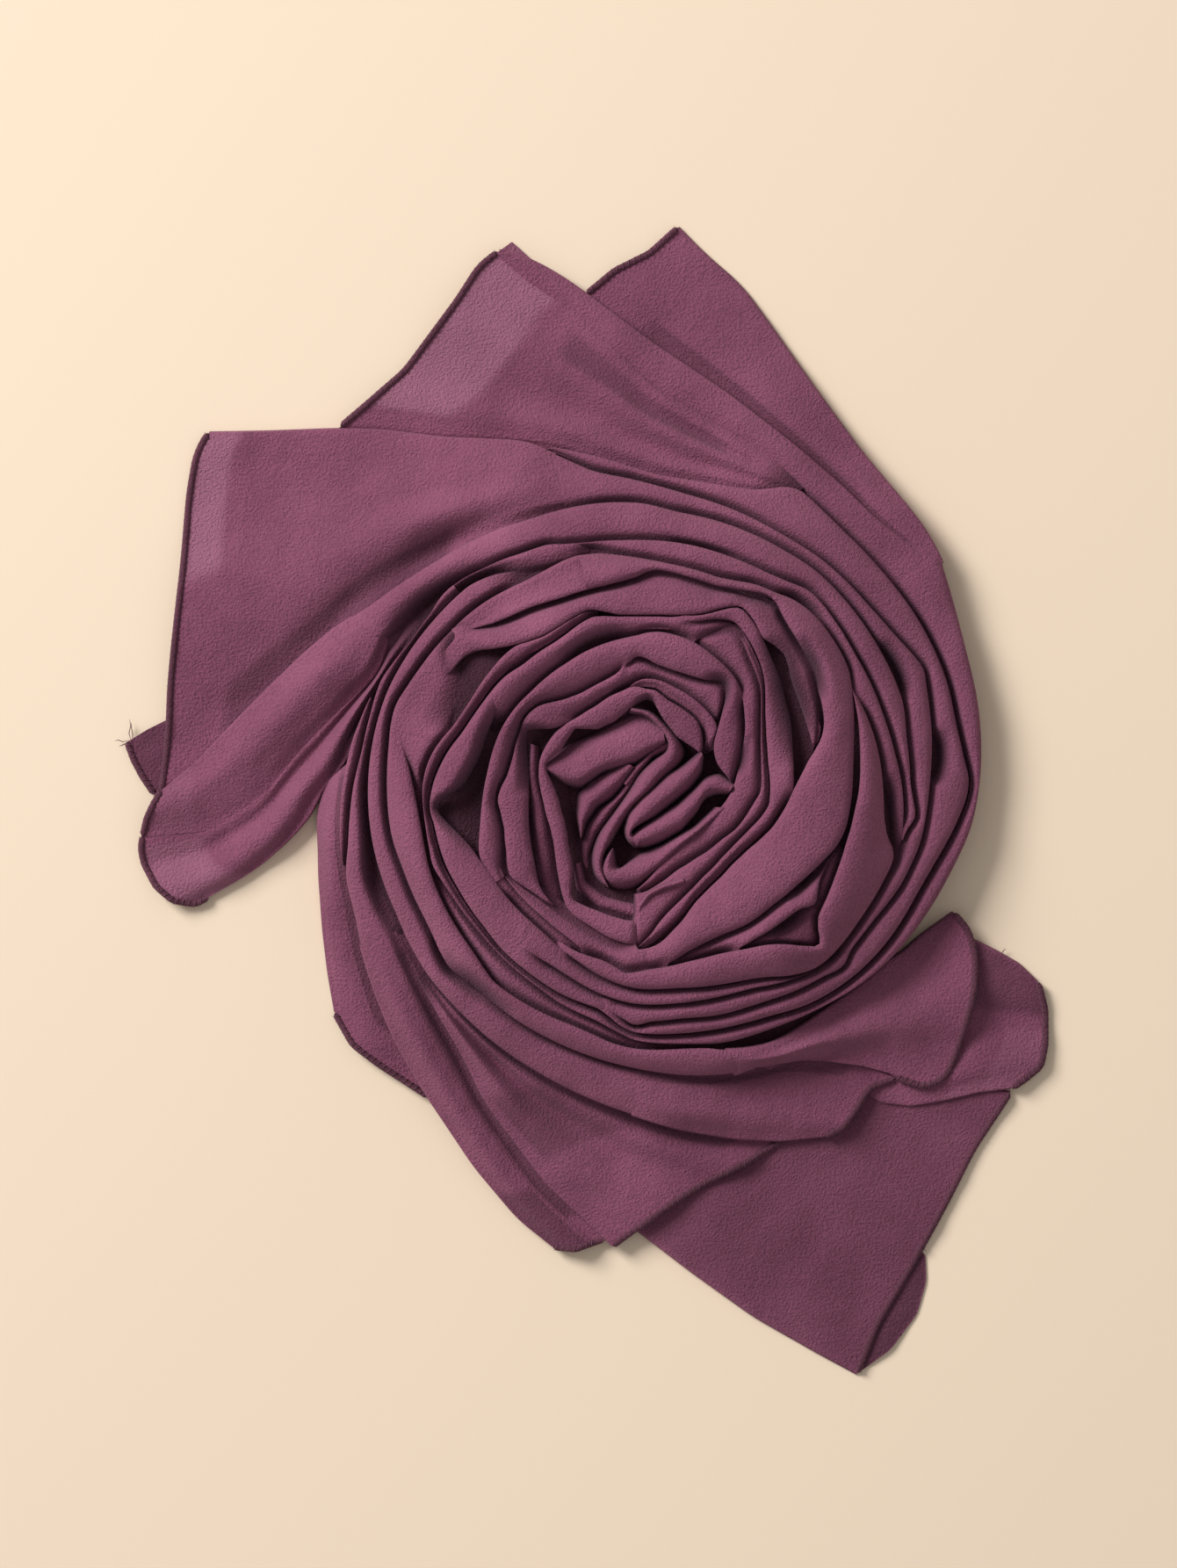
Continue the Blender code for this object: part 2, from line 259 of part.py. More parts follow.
# Fanned ends. Sides a and b run from the coil to the hem, start lies at the coil and end at the hem.
# A point is either (x, y) in grid steps or (line name, angle) on a fold line of the coil.
# heights: top of the cloth at a-start, b-start, a-end, b-end, mm; swell: lift of the middle, mm.
FANS = (
    dict(name="fan_left_corner", heights=(1.8, 1.8, 1.6, 1.6), swell=0.0,
         a=((187, 824), (165, 834), (143, 847)), b=((179, 899), (174, 903)),
         end=((143, 847), (150, 865), (160, 882), (174, 903))),
    dict(name="fan_left_upper", heights=(11.6, 17.2, 2.2, 4.6), swell=1.2,
         a=(("B", 104.2), (600, 503), (560, 500), (500, 497), (430, 488), (380, 487), (300, 490),
            (235, 491)),
         b=(("C", 104.2), ("C", 120), ("C", 135), ("C", 148), (370, 740), (310, 800), (262, 850),
            (182, 900)),
         end=((235, 491), (222, 510), (213, 560), (207, 640), (198, 720), (192, 780), (190, 830),
              (182, 900))),
    dict(name="fan_left_ridge", heights=(13.6, 19.6, 5.6, 4.2), swell=1.4,
         a=((399, 712), (370, 741), (310, 801), (262, 850), (182, 900)),
         b=(("D", 148.3), (430, 765), (390, 805), (340, 855), (300, 905), (235, 950), (165, 955)),
         end=((182, 900), (176, 925), (168, 945), (165, 955))),
    dict(name="fan_left_lower", heights=(17.6, 19.0, 2.6, 2.4), swell=0.8,
         a=(("D", 139), ("D", 148), (430, 765), (390, 805), (340, 855), (300, 905), (235, 950),
            (165, 955)),
         b=(("N", -221), ("N", -212), ("N", -205), ("O", -200), ("O", -192), ("O", -186),
            (367, 896), (355, 925), (330, 955), (290, 990), (235, 1022)),
         end=((165, 955), (160, 968), (160, 985), (175, 1010), (195, 1027), (220, 1030),
              (235, 1022))),
    dict(name="fan_top_edge", heights=(10.6, 13.4, 5.0, 4.6), swell=0.8,
         a=((1051, 634), (1031, 616), (1000, 594), (962, 555), (904, 505), (828, 446), (740, 387),
            (690, 349), (640, 312), (600, 290), (578, 282)),
         b=(("A", 38.4), ("A", 50), ("A", 60), (878, 528), (813, 486), (751, 448), (694, 391),
            (650, 350), (600, 315), (566, 284)),
         end=((578, 282), (572, 281), (566, 284))),
    dict(name="fan_top_face", heights=(11.4, 11.0, 4.2, 3.2), swell=1.0,
         a=((907, 551), (878, 528), (813, 486), (751, 448), (694, 391), (650, 350), (600, 315),
            (566, 284)),
         b=((896, 559), ("FL", 65), ("FL", 70), ("FL", 80), ("FL", 90), ("FL", 97), (656, 510), (622, 500), (560, 496), (500, 493), (430, 485), (387, 483)),
         end=((566, 284), (545, 300), (520, 340), (490, 380), (460, 420), (420, 455), (387, 483))),
    dict(name="fan_top_back", heights=(8.0, 8.6, 1.8, 2.4), swell=0.6,
         a=((1072, 628), (1042, 586), (981, 513), (927, 439), (874, 364), (843, 322), (800, 285),
            (772, 256)),
         b=((1056, 632), (1031, 616), (1000, 594), (962, 555), (904, 505), (828, 446), (740, 387),
            (690, 349), (668, 331)),
         end=((772, 256), (740, 285), (700, 305), (668, 331))),
    dict(name="fan_low_first", heights=(6.0, 15.6, 1.8, 2.6), swell=0.8,
         a=((367, 900), (362, 925), (362, 1000), (366, 1060), (372, 1110), (380, 1155)),
         b=(("O", -184), ("O", -176), ("O", -168), ("N", -160), ("N", -150), ("N", -140),
            ("N", -132), (487, 1250)),
         end=((380, 1155), (400, 1190), (430, 1213), (487, 1250))),
    dict(name="fan_low_second", heights=(14.8, 18.8, 2.8, 3.6), swell=0.9,
         a=(("N", -149.6), ("N", -140), ("N", -132), (487, 1250), (540, 1330), (590, 1390),
            (630, 1422)),
         b=(("Q", -149.6), ("Q", -143), ("Q", -133), ("Q", -123), ("Q", -114), (620, 1350),
            (688, 1413)),
         end=((630, 1422), (655, 1424), (688, 1413))),
    dict(name="fan_low_third", heights=(20.6, 18.6, 4.6, 5.0), swell=1.2,
         a=(("Q", -139), ("Q", -133), ("Q", -123), ("Q", -114), (623, 1349), (698, 1420)),
         b=(("P", -139), ("P", -125), ("P", -110), ("P", -95), ("P", -80), (840, 1297),
            (890, 1300)),
         end=((698, 1420), (725, 1400), (760, 1375), (800, 1350), (850, 1325), (890, 1300))),
    dict(name="fan_low_lobe", heights=(14.0, 19.0, 5.6, 6.0), swell=1.2,
         a=(("P", -89.6), ("P", -80), (840, 1297), (890, 1300), (940, 1295)),
         b=(("M", -89.6), ("M", -75), ("M", -60), (930, 1206), (965, 1210), (1000, 1219),
            (1019, 1229)),
         end=((940, 1295), (960, 1285), (975, 1265), (990, 1240), (1019, 1229))),
    dict(name="fan_right_lobe", heights=(18.2, 21.2, 6.0, 6.2), swell=1.4,
         a=(("M", -69.6), (870, 1211), (899, 1201), (928, 1201), (965, 1206), (1000, 1216), (1021, 1227)),
         b=(("T", -69.6), ("T", -60), ("T", -50), ("T", -40), ("T", -33), (1022, 1092),
            (1050, 1067), (1088, 1040)),
         end=((1021, 1227), (1050, 1238), (1065, 1235), (1080, 1225), (1090, 1200), (1100, 1170),
              (1110, 1130), (1112, 1090), (1105, 1060), (1088, 1040))),
    dict(name="fan_right_back", heights=(3.0, 3.0, 1.8, 1.8), swell=0.0, across=8,
         start=((1111, 1070), (1115, 1090), (1113, 1130), (1103, 1170), (1093, 1201), (1083, 1228),
                (1067, 1240)),
         a=((1111, 1070), (1140, 1085), (1165, 1100), (1185, 1120)),
         b=((1067, 1240), (1082, 1253), (1100, 1253), (1155, 1242)),
         end=((1185, 1120), (1193, 1150), (1193, 1190), (1188, 1215), (1170, 1230), (1155, 1240))),
    dict(name="fan_low_under", heights=(3.2, 3.2, 1.8, 1.8), swell=0.0, across=10,
         start=((727, 1402), (761, 1379), (800, 1354), (851, 1328), (892, 1303), (941, 1297),
                (964, 1288), (979, 1267), (995, 1245)),
         a=((727, 1402), (790, 1450), (860, 1500), (930, 1540), (978, 1566)),
         b=((995, 1245), (1021, 1238), (1050, 1246), (1066, 1248), (1100, 1257), (1152, 1246)),
         end=((978, 1566), (1000, 1510), (1030, 1460), (1050, 1425), (1080, 1370), (1110, 1310),
              (1140, 1265), (1152, 1246))),
)

# Ribbons of the heart, standing on edge. path: x, y in grid steps; width and height of the top, mm.
HEART = (
    dict(name="heart_hook", width=3.6, top=29.0, path=(
        (718, 815), (731, 815), (744, 827), (757, 842), (768, 857), (753, 882), (733, 902),
        (710, 924), (691, 945), (680, 968), (680, 991), (692, 1004), (709, 1003), (727, 990),
        (745, 972), (766, 952), (784, 934), (797, 918))),
    dict(name="heart_hairpin", width=4.4, top=30.0, path=(
        (788, 872), (768, 893), (748, 912), (731, 930), (725, 943), (731, 951), (744, 946),
        (764, 931), (781, 914), (796, 896))),
)
TONGUE = dict(name="heart_tongue", heights=(27.0, 25.0, 30.0, 26.0), swell=1.6,
              a=((628, 869), (667, 844), (692, 829), (708, 822)),
              b=((630, 884), (643, 891), (663, 894), (684, 885), (704, 874), (722, 868)),
              end=((708, 822), (724, 834), (728, 852), (722, 868)))


def smooth_value(rows, at):
    """Value of a table (position, value) between its rows, on a smooth curve that never overshoots."""
    if at <= rows[0][0]:
        return rows[0][1]
    if at >= rows[-1][0]:
        return rows[-1][1]
    k = max(i for i in range(len(rows) - 1) if rows[i][0] <= at)

    def run(i):
        return (rows[i + 1][1] - rows[i][1]) / (rows[i + 1][0] - rows[i][0])

    def slope(i):
        if i == 0 or i == len(rows) - 1:
            return run(min(i, len(rows) - 2))
        before, after = run(i - 1), run(i)
        return 0.0 if before * after <= 0 else 2 * before * after / (before + after)

    span = rows[k + 1][0] - rows[k][0]
    t = (at - rows[k][0]) / span
    low, high = rows[k][1], rows[k + 1][1]
    return (low * (1 + 2 * t) * (1 - t) ** 2 + high * t * t * (3 - 2 * t)
            + slope(k) * span * t * (1 - t) ** 2 - slope(k + 1) * span * t * t * (1 - t))


def dome(radius):
    return smooth_value(DOME, radius)


def covers(name, angle):
    path = LINES[name]["path"]
    return path[0][0] - 0.01 <= angle <= path[-1][0] + 0.01


def same_turn(name, angle):
    """The angle, or the same direction one turn off, where the line has a point."""
    for turn in (angle, angle - 360, angle + 360):
        if covers(name, turn):
            return turn
    return None


def line_radius(name, angle):
    return smooth_value(LINES[name]["path"], angle)


def line_step(name, angle):
    line = LINES[name]
    share = 1.0
    if line["fade_low"]:
        share = min(share, max(0.0, (angle - line["path"][0][0]) / line["fade_low"]))
    if line["fade_high"]:
        share = min(share, max(0.0, (line["path"][-1][0] - angle) / line["fade_high"]))
    return line["step"] * share


def bound(names, angle, turn):
    """Radius and step of the line that bounds a stretch at this angle. Past `turn` the next one does."""
    order = names if turn is None or angle < turn else names[::-1]
    for name in order:
        there = same_turn(name, angle)
        if there is not None:
            return line_radius(name, there), line_step(name, there)
    return None


def on_plan(radius, angle):
    a = math.radians(angle)
    return (COIL_CENTRE[0] + radius * math.cos(a), COIL_CENTRE[1] + radius * math.sin(a))


def section(row, angle, wide):
    """Closed outline of a stretch at one angle, as radius and height, from its outer foot round."""
    outer, outer_step = bound(row["outer"], angle, row.get("turn"))
    inner, inner_step = bound(row["inner"], angle, row.get("turn"))
    outer -= GAP
    inner += GAP
    if outer - inner < 0.5:
        middle = (outer + inner) / 2
        outer, inner = middle + 0.25, middle - 0.25
    width = outer - inner
    lip = min(1.3, 0.22 * width)
    top_out = dome(outer) + outer_step / 2
    top_in = dome(inner) - inner_step / 2
    swell = row["swell"] * min(1.0, width / 9.0)
    points = [(outer, dome(outer) - PLY), (outer, top_out - 1.1), (outer - lip, top_out)]
    for share in (0.35, 0.65) if wide else (0.5,):
        points.append((outer - share * width, top_out + (top_in - top_out) * share + swell))
    points += [(inner + lip, top_in), (inner, top_in - 1.1), (inner, dome(inner) - PLY)]
    for share in (0.3, 0.7) if wide else ():
        radius = inner + share * width
        points.append((radius, dome(radius) - PLY))
    return points


def closed_mesh(name, rings):
    """A solid through rings of equal length, capped at both ends."""
    count = len(rings[0])
    points = [point for ring in rings for point in ring]
    faces = []
    for i in range(len(rings) - 1):
        for j in range(count):
            k = (j + 1) % count
            faces.append((i * count + j, i * count + k, (i + 1) * count + k, (i + 1) * count + j))
    faces.append(tuple(reversed(range(count))))
    faces.append(tuple(range((len(rings) - 1) * count, len(rings) * count)))
    return new_object(name, points, faces)


def new_object(name, points, faces):
    mesh = bpy.data.meshes.new(name)
    mesh.from_pydata([(x * MM, y * MM, z * MM) for x, y, z in points], [], faces)
    volume = 0.0
    for face in faces:
        for i in range(1, len(face) - 1):
            a, b, c = (points[face[0]], points[face[i]], points[face[i + 1]])
            volume += (a[0] * (b[1] * c[2] - b[2] * c[1]) - a[1] * (b[0] * c[2] - b[2] * c[0])
                       + a[2] * (b[0] * c[1] - b[1] * c[0]))
    if volume < 0:
        mesh.flip_normals()
    mesh.materials.append(CREPE)
    made = bpy.data.objects.new(name, mesh)
    SCARF.objects.link(made)
    return made


def stations(low, high):
    """Angles of the sections: the two ends, and the steps of the whole coil between them."""
    between = range(math.ceil(low / STATION) * STATION, math.floor(high) + 1, STATION)
    return [low] + [angle for angle in between if low + 1 < angle < high - 1] + [high]


def coil_stretch(row):
    angles = stations(row["low"], row["high"])
    widths = [bound(row["outer"], angle, row.get("turn"))[0]
              - bound(row["inner"], angle, row.get("turn"))[0] for angle in angles]
    rings = [[on_plan(r, angle) + (z,) for r, z in section(row, angle, max(widths) > WIDE)]
             for angle in angles]
    return closed_mesh(row["name"], rings)


def place(point):
    """Plan position in mm of a table point."""
    if isinstance(point[0], str):
        return on_plan(line_radius(point[0], point[1]), point[1])
    return ((point[0] - GRID_ZERO[0]) * GRID, (GRID_ZERO[1] - point[1]) * GRID)


def side_points(side):
    """Plan positions along a side. Between two points on one fold line it follows that line."""
    points = []
    for point, following in zip(side, side[1:]):
        points.append(place(point))
        if isinstance(point[0], str) and point[0] == following[0]:
            low, high = sorted((point[1], following[1]))
            middle = [(point[0], angle) for angle in stations(low, high)[1:-1]]
            points += [place(p) for p in (middle if point[1] < following[1] else middle[::-1])]
    return points + [place(side[-1])]


def along(side, share):
    """Plan position at a share of the length of a side."""
    points = side_points(side)
    lengths = [math.dist(points[i], points[i + 1]) for i in range(len(points) - 1)]
    left = share * sum(lengths)
    for i, length in enumerate(lengths):
        if left <= length or i == len(lengths) - 1:
            t = min(1.0, left / length) if length else 0.0
            return tuple(points[i][k] + (points[i + 1][k] - points[i][k]) * t for k in (0, 1))
        left -= length


def fan_point(row, u, v):
    """Plan position inside the four sides of a fan, u from the coil to the hem, v from a to b."""
    a, b, end = along(row["a"], u), along(row["b"], u), along(row["end"], v)
    start = along(row.get("start", (row["a"][0], row["b"][0])), v)
    a0, b0 = place(row["a"][0]), place(row["b"][0])
    a1, b1 = place(row["a"][-1]), place(row["b"][-1])
    at = []
    for k in (0, 1):
        rim = (1 - v) * a[k] + v * b[k] + (1 - u) * start[k] + u * end[k]
        at.append(rim - (1 - u) * ((1 - v) * a0[k] + v * b0[k]) - u * ((1 - v) * a1[k] + v * b1[k]))
    return tuple(at)


def fan_sheet(row, wall=None, along_count=14):
    """The layers of a fan between its four sides, down to the table or as a wall of one thickness."""
    across_count = row.get("across", 4)
    length = math.dist(place(row["a"][0]), place(row["a"][-1]))
    tops, feet = [], []
    for i in range(along_count + 1):
        u = i / along_count
        width = max(1.0, math.dist(along(row["a"], u), along(row["b"], u)))
        inset_v = min(0.4, FAN_INSET / width)
        inset_u = FAN_INSET / length
        u = inset_u + u * (1 - inset_u)
        for j in range(across_count + 1):
            v = inset_v + (1 - 2 * inset_v) * j / across_count
            x, y = fan_point(row, u, v)
            a_start, b_start, a_end, b_end = row["heights"]
            fall = 1 - (1 - u) ** 1.6
            start, end = a_start + (b_start - a_start) * v, a_end + (b_end - a_end) * v
            z = start + (end - start) * fall + row["swell"] * math.sin(math.pi * v) * (1 - 0.5 * u)
            tops.append((x, y, z))
            feet.append((x, y, 0.0 if wall is None else z - wall))
    points = tops + feet
    rows, down = across_count + 1, len(tops)
    faces = []
    for i in range(along_count):
        for j in range(across_count):
            k = i * rows + j
            faces.append((k, k + rows, k + rows + 1, k + 1))
            faces.append((down + k, down + k + 1, down + k + rows + 1, down + k + rows))
    edge = ([(0, j) for j in range(across_count)] + [(i, across_count) for i in range(along_count)]
            + [(along_count, j) for j in range(across_count, 0, -1)]
            + [(i, 0) for i in range(along_count, 0, -1)])
    for n, (i, j) in enumerate(edge):
        following = edge[(n + 1) % len(edge)]
        k, m = i * rows + j, following[0] * rows + following[1]
        faces.append((k, m, m + down, k + down))
    return new_object(row["name"], points, faces)


def heart_ribbon(row):
    """A ribbon standing on edge along its path, rounded over at the top."""
    path = [place(p) for p in row["path"]]
    half = row["width"] / 2
    rings = []
    for i, (x, y) in enumerate(path):
        before, after = path[max(i - 1, 0)], path[min(i + 1, len(path) - 1)]
        run = math.dist(before, after)
        nx, ny = -(after[1] - before[1]) / run, (after[0] - before[0]) / run
        foot = dome(math.dist((x, y), COIL_CENTRE) + half) - PLY
        rings.append([(x + nx * s * half, y + ny * s * half, z) for s, z in (
            (1, foot), (1, row["top"] - 1.6), (0, row["top"]), (-1, row["top"] - 1.6), (-1, foot))])
    return closed_mesh(row["name"], rings)


def core_reach(angle):
    """How far out the hidden layers go, from the coil's centre, mm."""
    return smooth_value(CORE_REACH, angle)


def core():
    """The layers inside the coil that never show, as one low solid with a flat underside."""
    around = 60
    lowered = PLY + CORE_CLEAR
    rings = []
    for share in (0.985, 1.0, 0.97, 0.9, 0.8, 0.68, 0.55, 0.42, 0.29, 0.15):
        ring = []
        for k in range(around):
            angle = -180 + 360 * k / around
            reach = core_reach(angle)
            heart = max(0.0, 1 - reach * share / 52)
            top = dome(reach * share) - lowered - HEART_ROOM * heart
            height = {0.985: 0.0, 1.0: 1.6}.get(share, top)
            ring.append(on_plan(reach * share, angle) + (height,))
        rings.append(ring)
    return closed_mesh("core_layers", rings)


for leftover in list(bpy.data.objects):
    bpy.data.objects.remove(leftover)
SCARF = bpy.data.collections.new("hijab_headscarf")
bpy.context.scene.collection.children.link(SCARF)
CREPE = bpy.data.materials.new("crepe")
CREPE.use_nodes = True
CREPE.node_tree.nodes["Principled BSDF"].inputs["Base Color"].default_value = (0.27, 0.09, 0.15, 1)
CREPE.node_tree.nodes["Principled BSDF"].inputs["Roughness"].default_value = 0.75

core()
for stretch in STRETCHES:
    coil_stretch(stretch)
for fan in FANS:
    fan_sheet(fan)
for ribbon in HEART:
    heart_ribbon(ribbon)
fan_sheet(TONGUE, wall=5.8, along_count=6)
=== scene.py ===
"""A long crepe headscarf, wound into a low rose on a pale floor, both ends fanned out."""

import math

import bpy
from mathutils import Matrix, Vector, noise


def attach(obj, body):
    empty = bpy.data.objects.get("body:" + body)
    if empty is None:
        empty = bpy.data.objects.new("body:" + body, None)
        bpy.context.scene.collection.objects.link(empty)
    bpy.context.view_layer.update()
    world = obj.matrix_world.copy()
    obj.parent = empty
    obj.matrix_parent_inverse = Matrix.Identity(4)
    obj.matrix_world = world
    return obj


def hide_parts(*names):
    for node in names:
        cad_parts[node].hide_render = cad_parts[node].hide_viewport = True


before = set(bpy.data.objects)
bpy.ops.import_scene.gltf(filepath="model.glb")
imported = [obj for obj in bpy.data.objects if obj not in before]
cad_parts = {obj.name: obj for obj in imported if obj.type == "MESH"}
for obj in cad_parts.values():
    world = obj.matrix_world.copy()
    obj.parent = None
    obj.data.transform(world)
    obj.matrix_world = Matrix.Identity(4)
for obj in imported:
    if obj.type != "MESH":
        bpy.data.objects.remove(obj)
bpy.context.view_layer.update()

# The cloth.
# One rectangle of polyester crepe: plum, matt, with a fine pebbled face and a faint sheen.
# It is woven in one colour; painted shade darkens it in the creases, hollows and shaded flaps, and it is
# lighter where a single layer lies.
MM = 0.001


def grain(nodes, scale, detail=2.0, roughness=0.5):
    made = nodes.new("ShaderNodeTexNoise")
    made.inputs["Scale"].default_value = scale
    made.inputs["Detail"].default_value = detail
    made.inputs["Roughness"].default_value = roughness
    return made


def tones(nodes, dark_at, dark, light_at, light):
    made = nodes.new("ShaderNodeValToRGB")
    for stop, position, colour in zip(made.color_ramp.elements, (dark_at, light_at), (dark, light)):
        stop.position = position
        stop.color = (*colour, 1)
    return made


def relief(nodes, strength, distance):
    made = nodes.new("ShaderNodeBump")
    made.inputs["Strength"].default_value = strength
    made.inputs["Distance"].default_value = distance
    return made


def sums(nodes, operation, second):
    made = nodes.new("ShaderNodeMath")
    made.operation = operation
    made.inputs[1].default_value = second
    return made


def dye(nodes, colour):
    made = nodes.new("ShaderNodeMix")
    made.data_type = "RGBA"
    made.inputs[7].default_value = (*colour, 1)
    return made


def crepe_cloth():
    made = bpy.data.materials.new("crepe")
    made.use_nodes = True
    nodes, links = made.node_tree.nodes, made.node_tree.links
    shader = nodes["Principled BSDF"]
    shader.inputs["Roughness"].default_value = 0.78
    shader.inputs["Specular IOR Level"].default_value = 0.3
    shader.inputs["Sheen Weight"].default_value = 0.15
    shader.inputs["Sheen Roughness"].default_value = 0.5
    shader.inputs["Sheen Tint"].default_value = (0.85, 0.55, 0.7, 1)
    place = nodes.new("ShaderNodeTexCoord")
    pebble = grain(nodes, 1150, 3, 0.6)
    crinkle = grain(nodes, 240, 4)
    cloudy = grain(nodes, 28, 3)
    tone = tones(nodes, 0.32, (0.172, 0.043, 0.089), 0.68, (0.318, 0.096, 0.173))
    halved = sums(nodes, "MULTIPLY", 0.45)
    mixed = sums(nodes, "MULTIPLY_ADD", 0.55)
    # Above 0 the attribute lightens a single layer; below 0 it mixes in a dark colour as painted shade.
    layers_and_shade = nodes.new("ShaderNodeAttribute")
    layers_and_shade.attribute_name = "layers_and_shade"
    thin = sums(nodes, "MAXIMUM", 0)
    painted_shade_share = sums(nodes, "MULTIPLY", -1)
    sheer_and_shade = dye(nodes, (0.36, 0.135, 0.215))
    painted_shade = dye(nodes, (0.040, 0.008, 0.020))
    fine = relief(nodes, 1.0, 0.0013)
    broad = relief(nodes, 0.2, 0.0012)
    for texture in (pebble, crinkle, cloudy):
        links.new(place.outputs["Object"], texture.inputs["Vector"])
    links.new(pebble.outputs["Fac"], halved.inputs[0])
    links.new(cloudy.outputs["Fac"], mixed.inputs[0])
    links.new(halved.outputs[0], mixed.inputs[2])
    links.new(mixed.outputs[0], tone.inputs["Fac"])
    links.new(tone.outputs["Color"], sheer_and_shade.inputs[6])
    links.new(layers_and_shade.outputs["Fac"], thin.inputs[0])
    links.new(layers_and_shade.outputs["Fac"], painted_shade_share.inputs[0])
    links.new(thin.outputs[0], sheer_and_shade.inputs[0])
    links.new(sheer_and_shade.outputs[2], painted_shade.inputs[6])
    links.new(painted_shade_share.outputs[0], painted_shade.inputs[0])
    links.new(painted_shade.outputs[2], shader.inputs["Base Color"])
    links.new(crinkle.outputs["Fac"], broad.inputs["Height"])
    links.new(pebble.outputs["Fac"], fine.inputs["Height"])
    links.new(broad.outputs["Normal"], fine.inputs["Normal"])
    links.new(fine.outputs["Normal"], shader.inputs["Normal"])
    return made


def crepe_again(name, dark, light):
    """The same crepe in other tones."""
    made = CREPE.copy()
    made.name = name
    for node in made.node_tree.nodes:
        if node.type == "VALTORGB":
            node.color_ramp.elements[0].color = (*dark, 1)
            node.color_ramp.elements[1].color = (*light, 1)
    return made


def finish_with(piece, material):
    piece.data.materials.clear()
    piece.data.materials.append(material)


CREPE = crepe_cloth()


def cloth_piece(name, points, faces, layers_and_shade=None):
    """A sheet of the crepe. layers_and_shade: at each point 1 where it lies single and light, -1 where
    painted shade makes it darkest.
    """
    mesh = bpy.data.meshes.new(name)
    mesh.from_pydata([(x * MM, y * MM, z * MM) for x, y, z in points], [], faces)
    mesh.polygons.foreach_set("use_smooth", [True] * len(faces))
    layer = mesh.attributes.new("layers_and_shade", "FLOAT", "POINT")
    layer.data.foreach_set("value", layers_and_shade or [0.0] * len(points))
    mesh.materials.append(CREPE)
    made = bpy.data.objects.new(name, mesh)
    bpy.context.scene.collection.objects.link(made)
    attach(made, "root")
    return made


def grid_faces(rows, across, closed=False):
    """Faces between rows of points, and from the last row back to the first where closed."""
    faces = []
    for i in range(rows if closed else rows - 1):
        near, far = i * across, (i + 1) % rows * across
        faces += [(near + j, near + j + 1, far + j + 1, far + j) for j in range(across - 1)]
    return faces


# The hidden layers.
# The inside of the coil shows only far down in the gaps. It is the same crepe, wound close under the
# pleats, in a darker copy of its colour that is painted shade, and with hardly any sheen.
SHADED = crepe_again("crepe_painted_shade_in_the_gaps", (0.036, 0.008, 0.018), (0.075, 0.02, 0.038))
SHADED.node_tree.nodes["Principled BSDF"].inputs["Sheen Weight"].default_value = 0.05
finish_with(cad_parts["core_layers"], SHADED)

# The outer pleats of the coil.
# The scarf is pleated into a rope and wound flat. Each pleat lies over or under its neighbour,
# with a soft folded lip on top and a gap where it stands off.
COIL_CENTRE = (17.43, 3.34)      # mm, x to the right and y up the picture
# Radius round that centre and height of the coil's top there, mm.
DOME = ((0, 21), (12, 23), (24, 25.5), (36, 28.5), (48, 31), (60, 33), (70, 32.5), (80, 29.5),
        (90, 24.5), (100, 19.5), (110, 15.2), (120, 11.6), (130, 9.2), (150, 7.5))

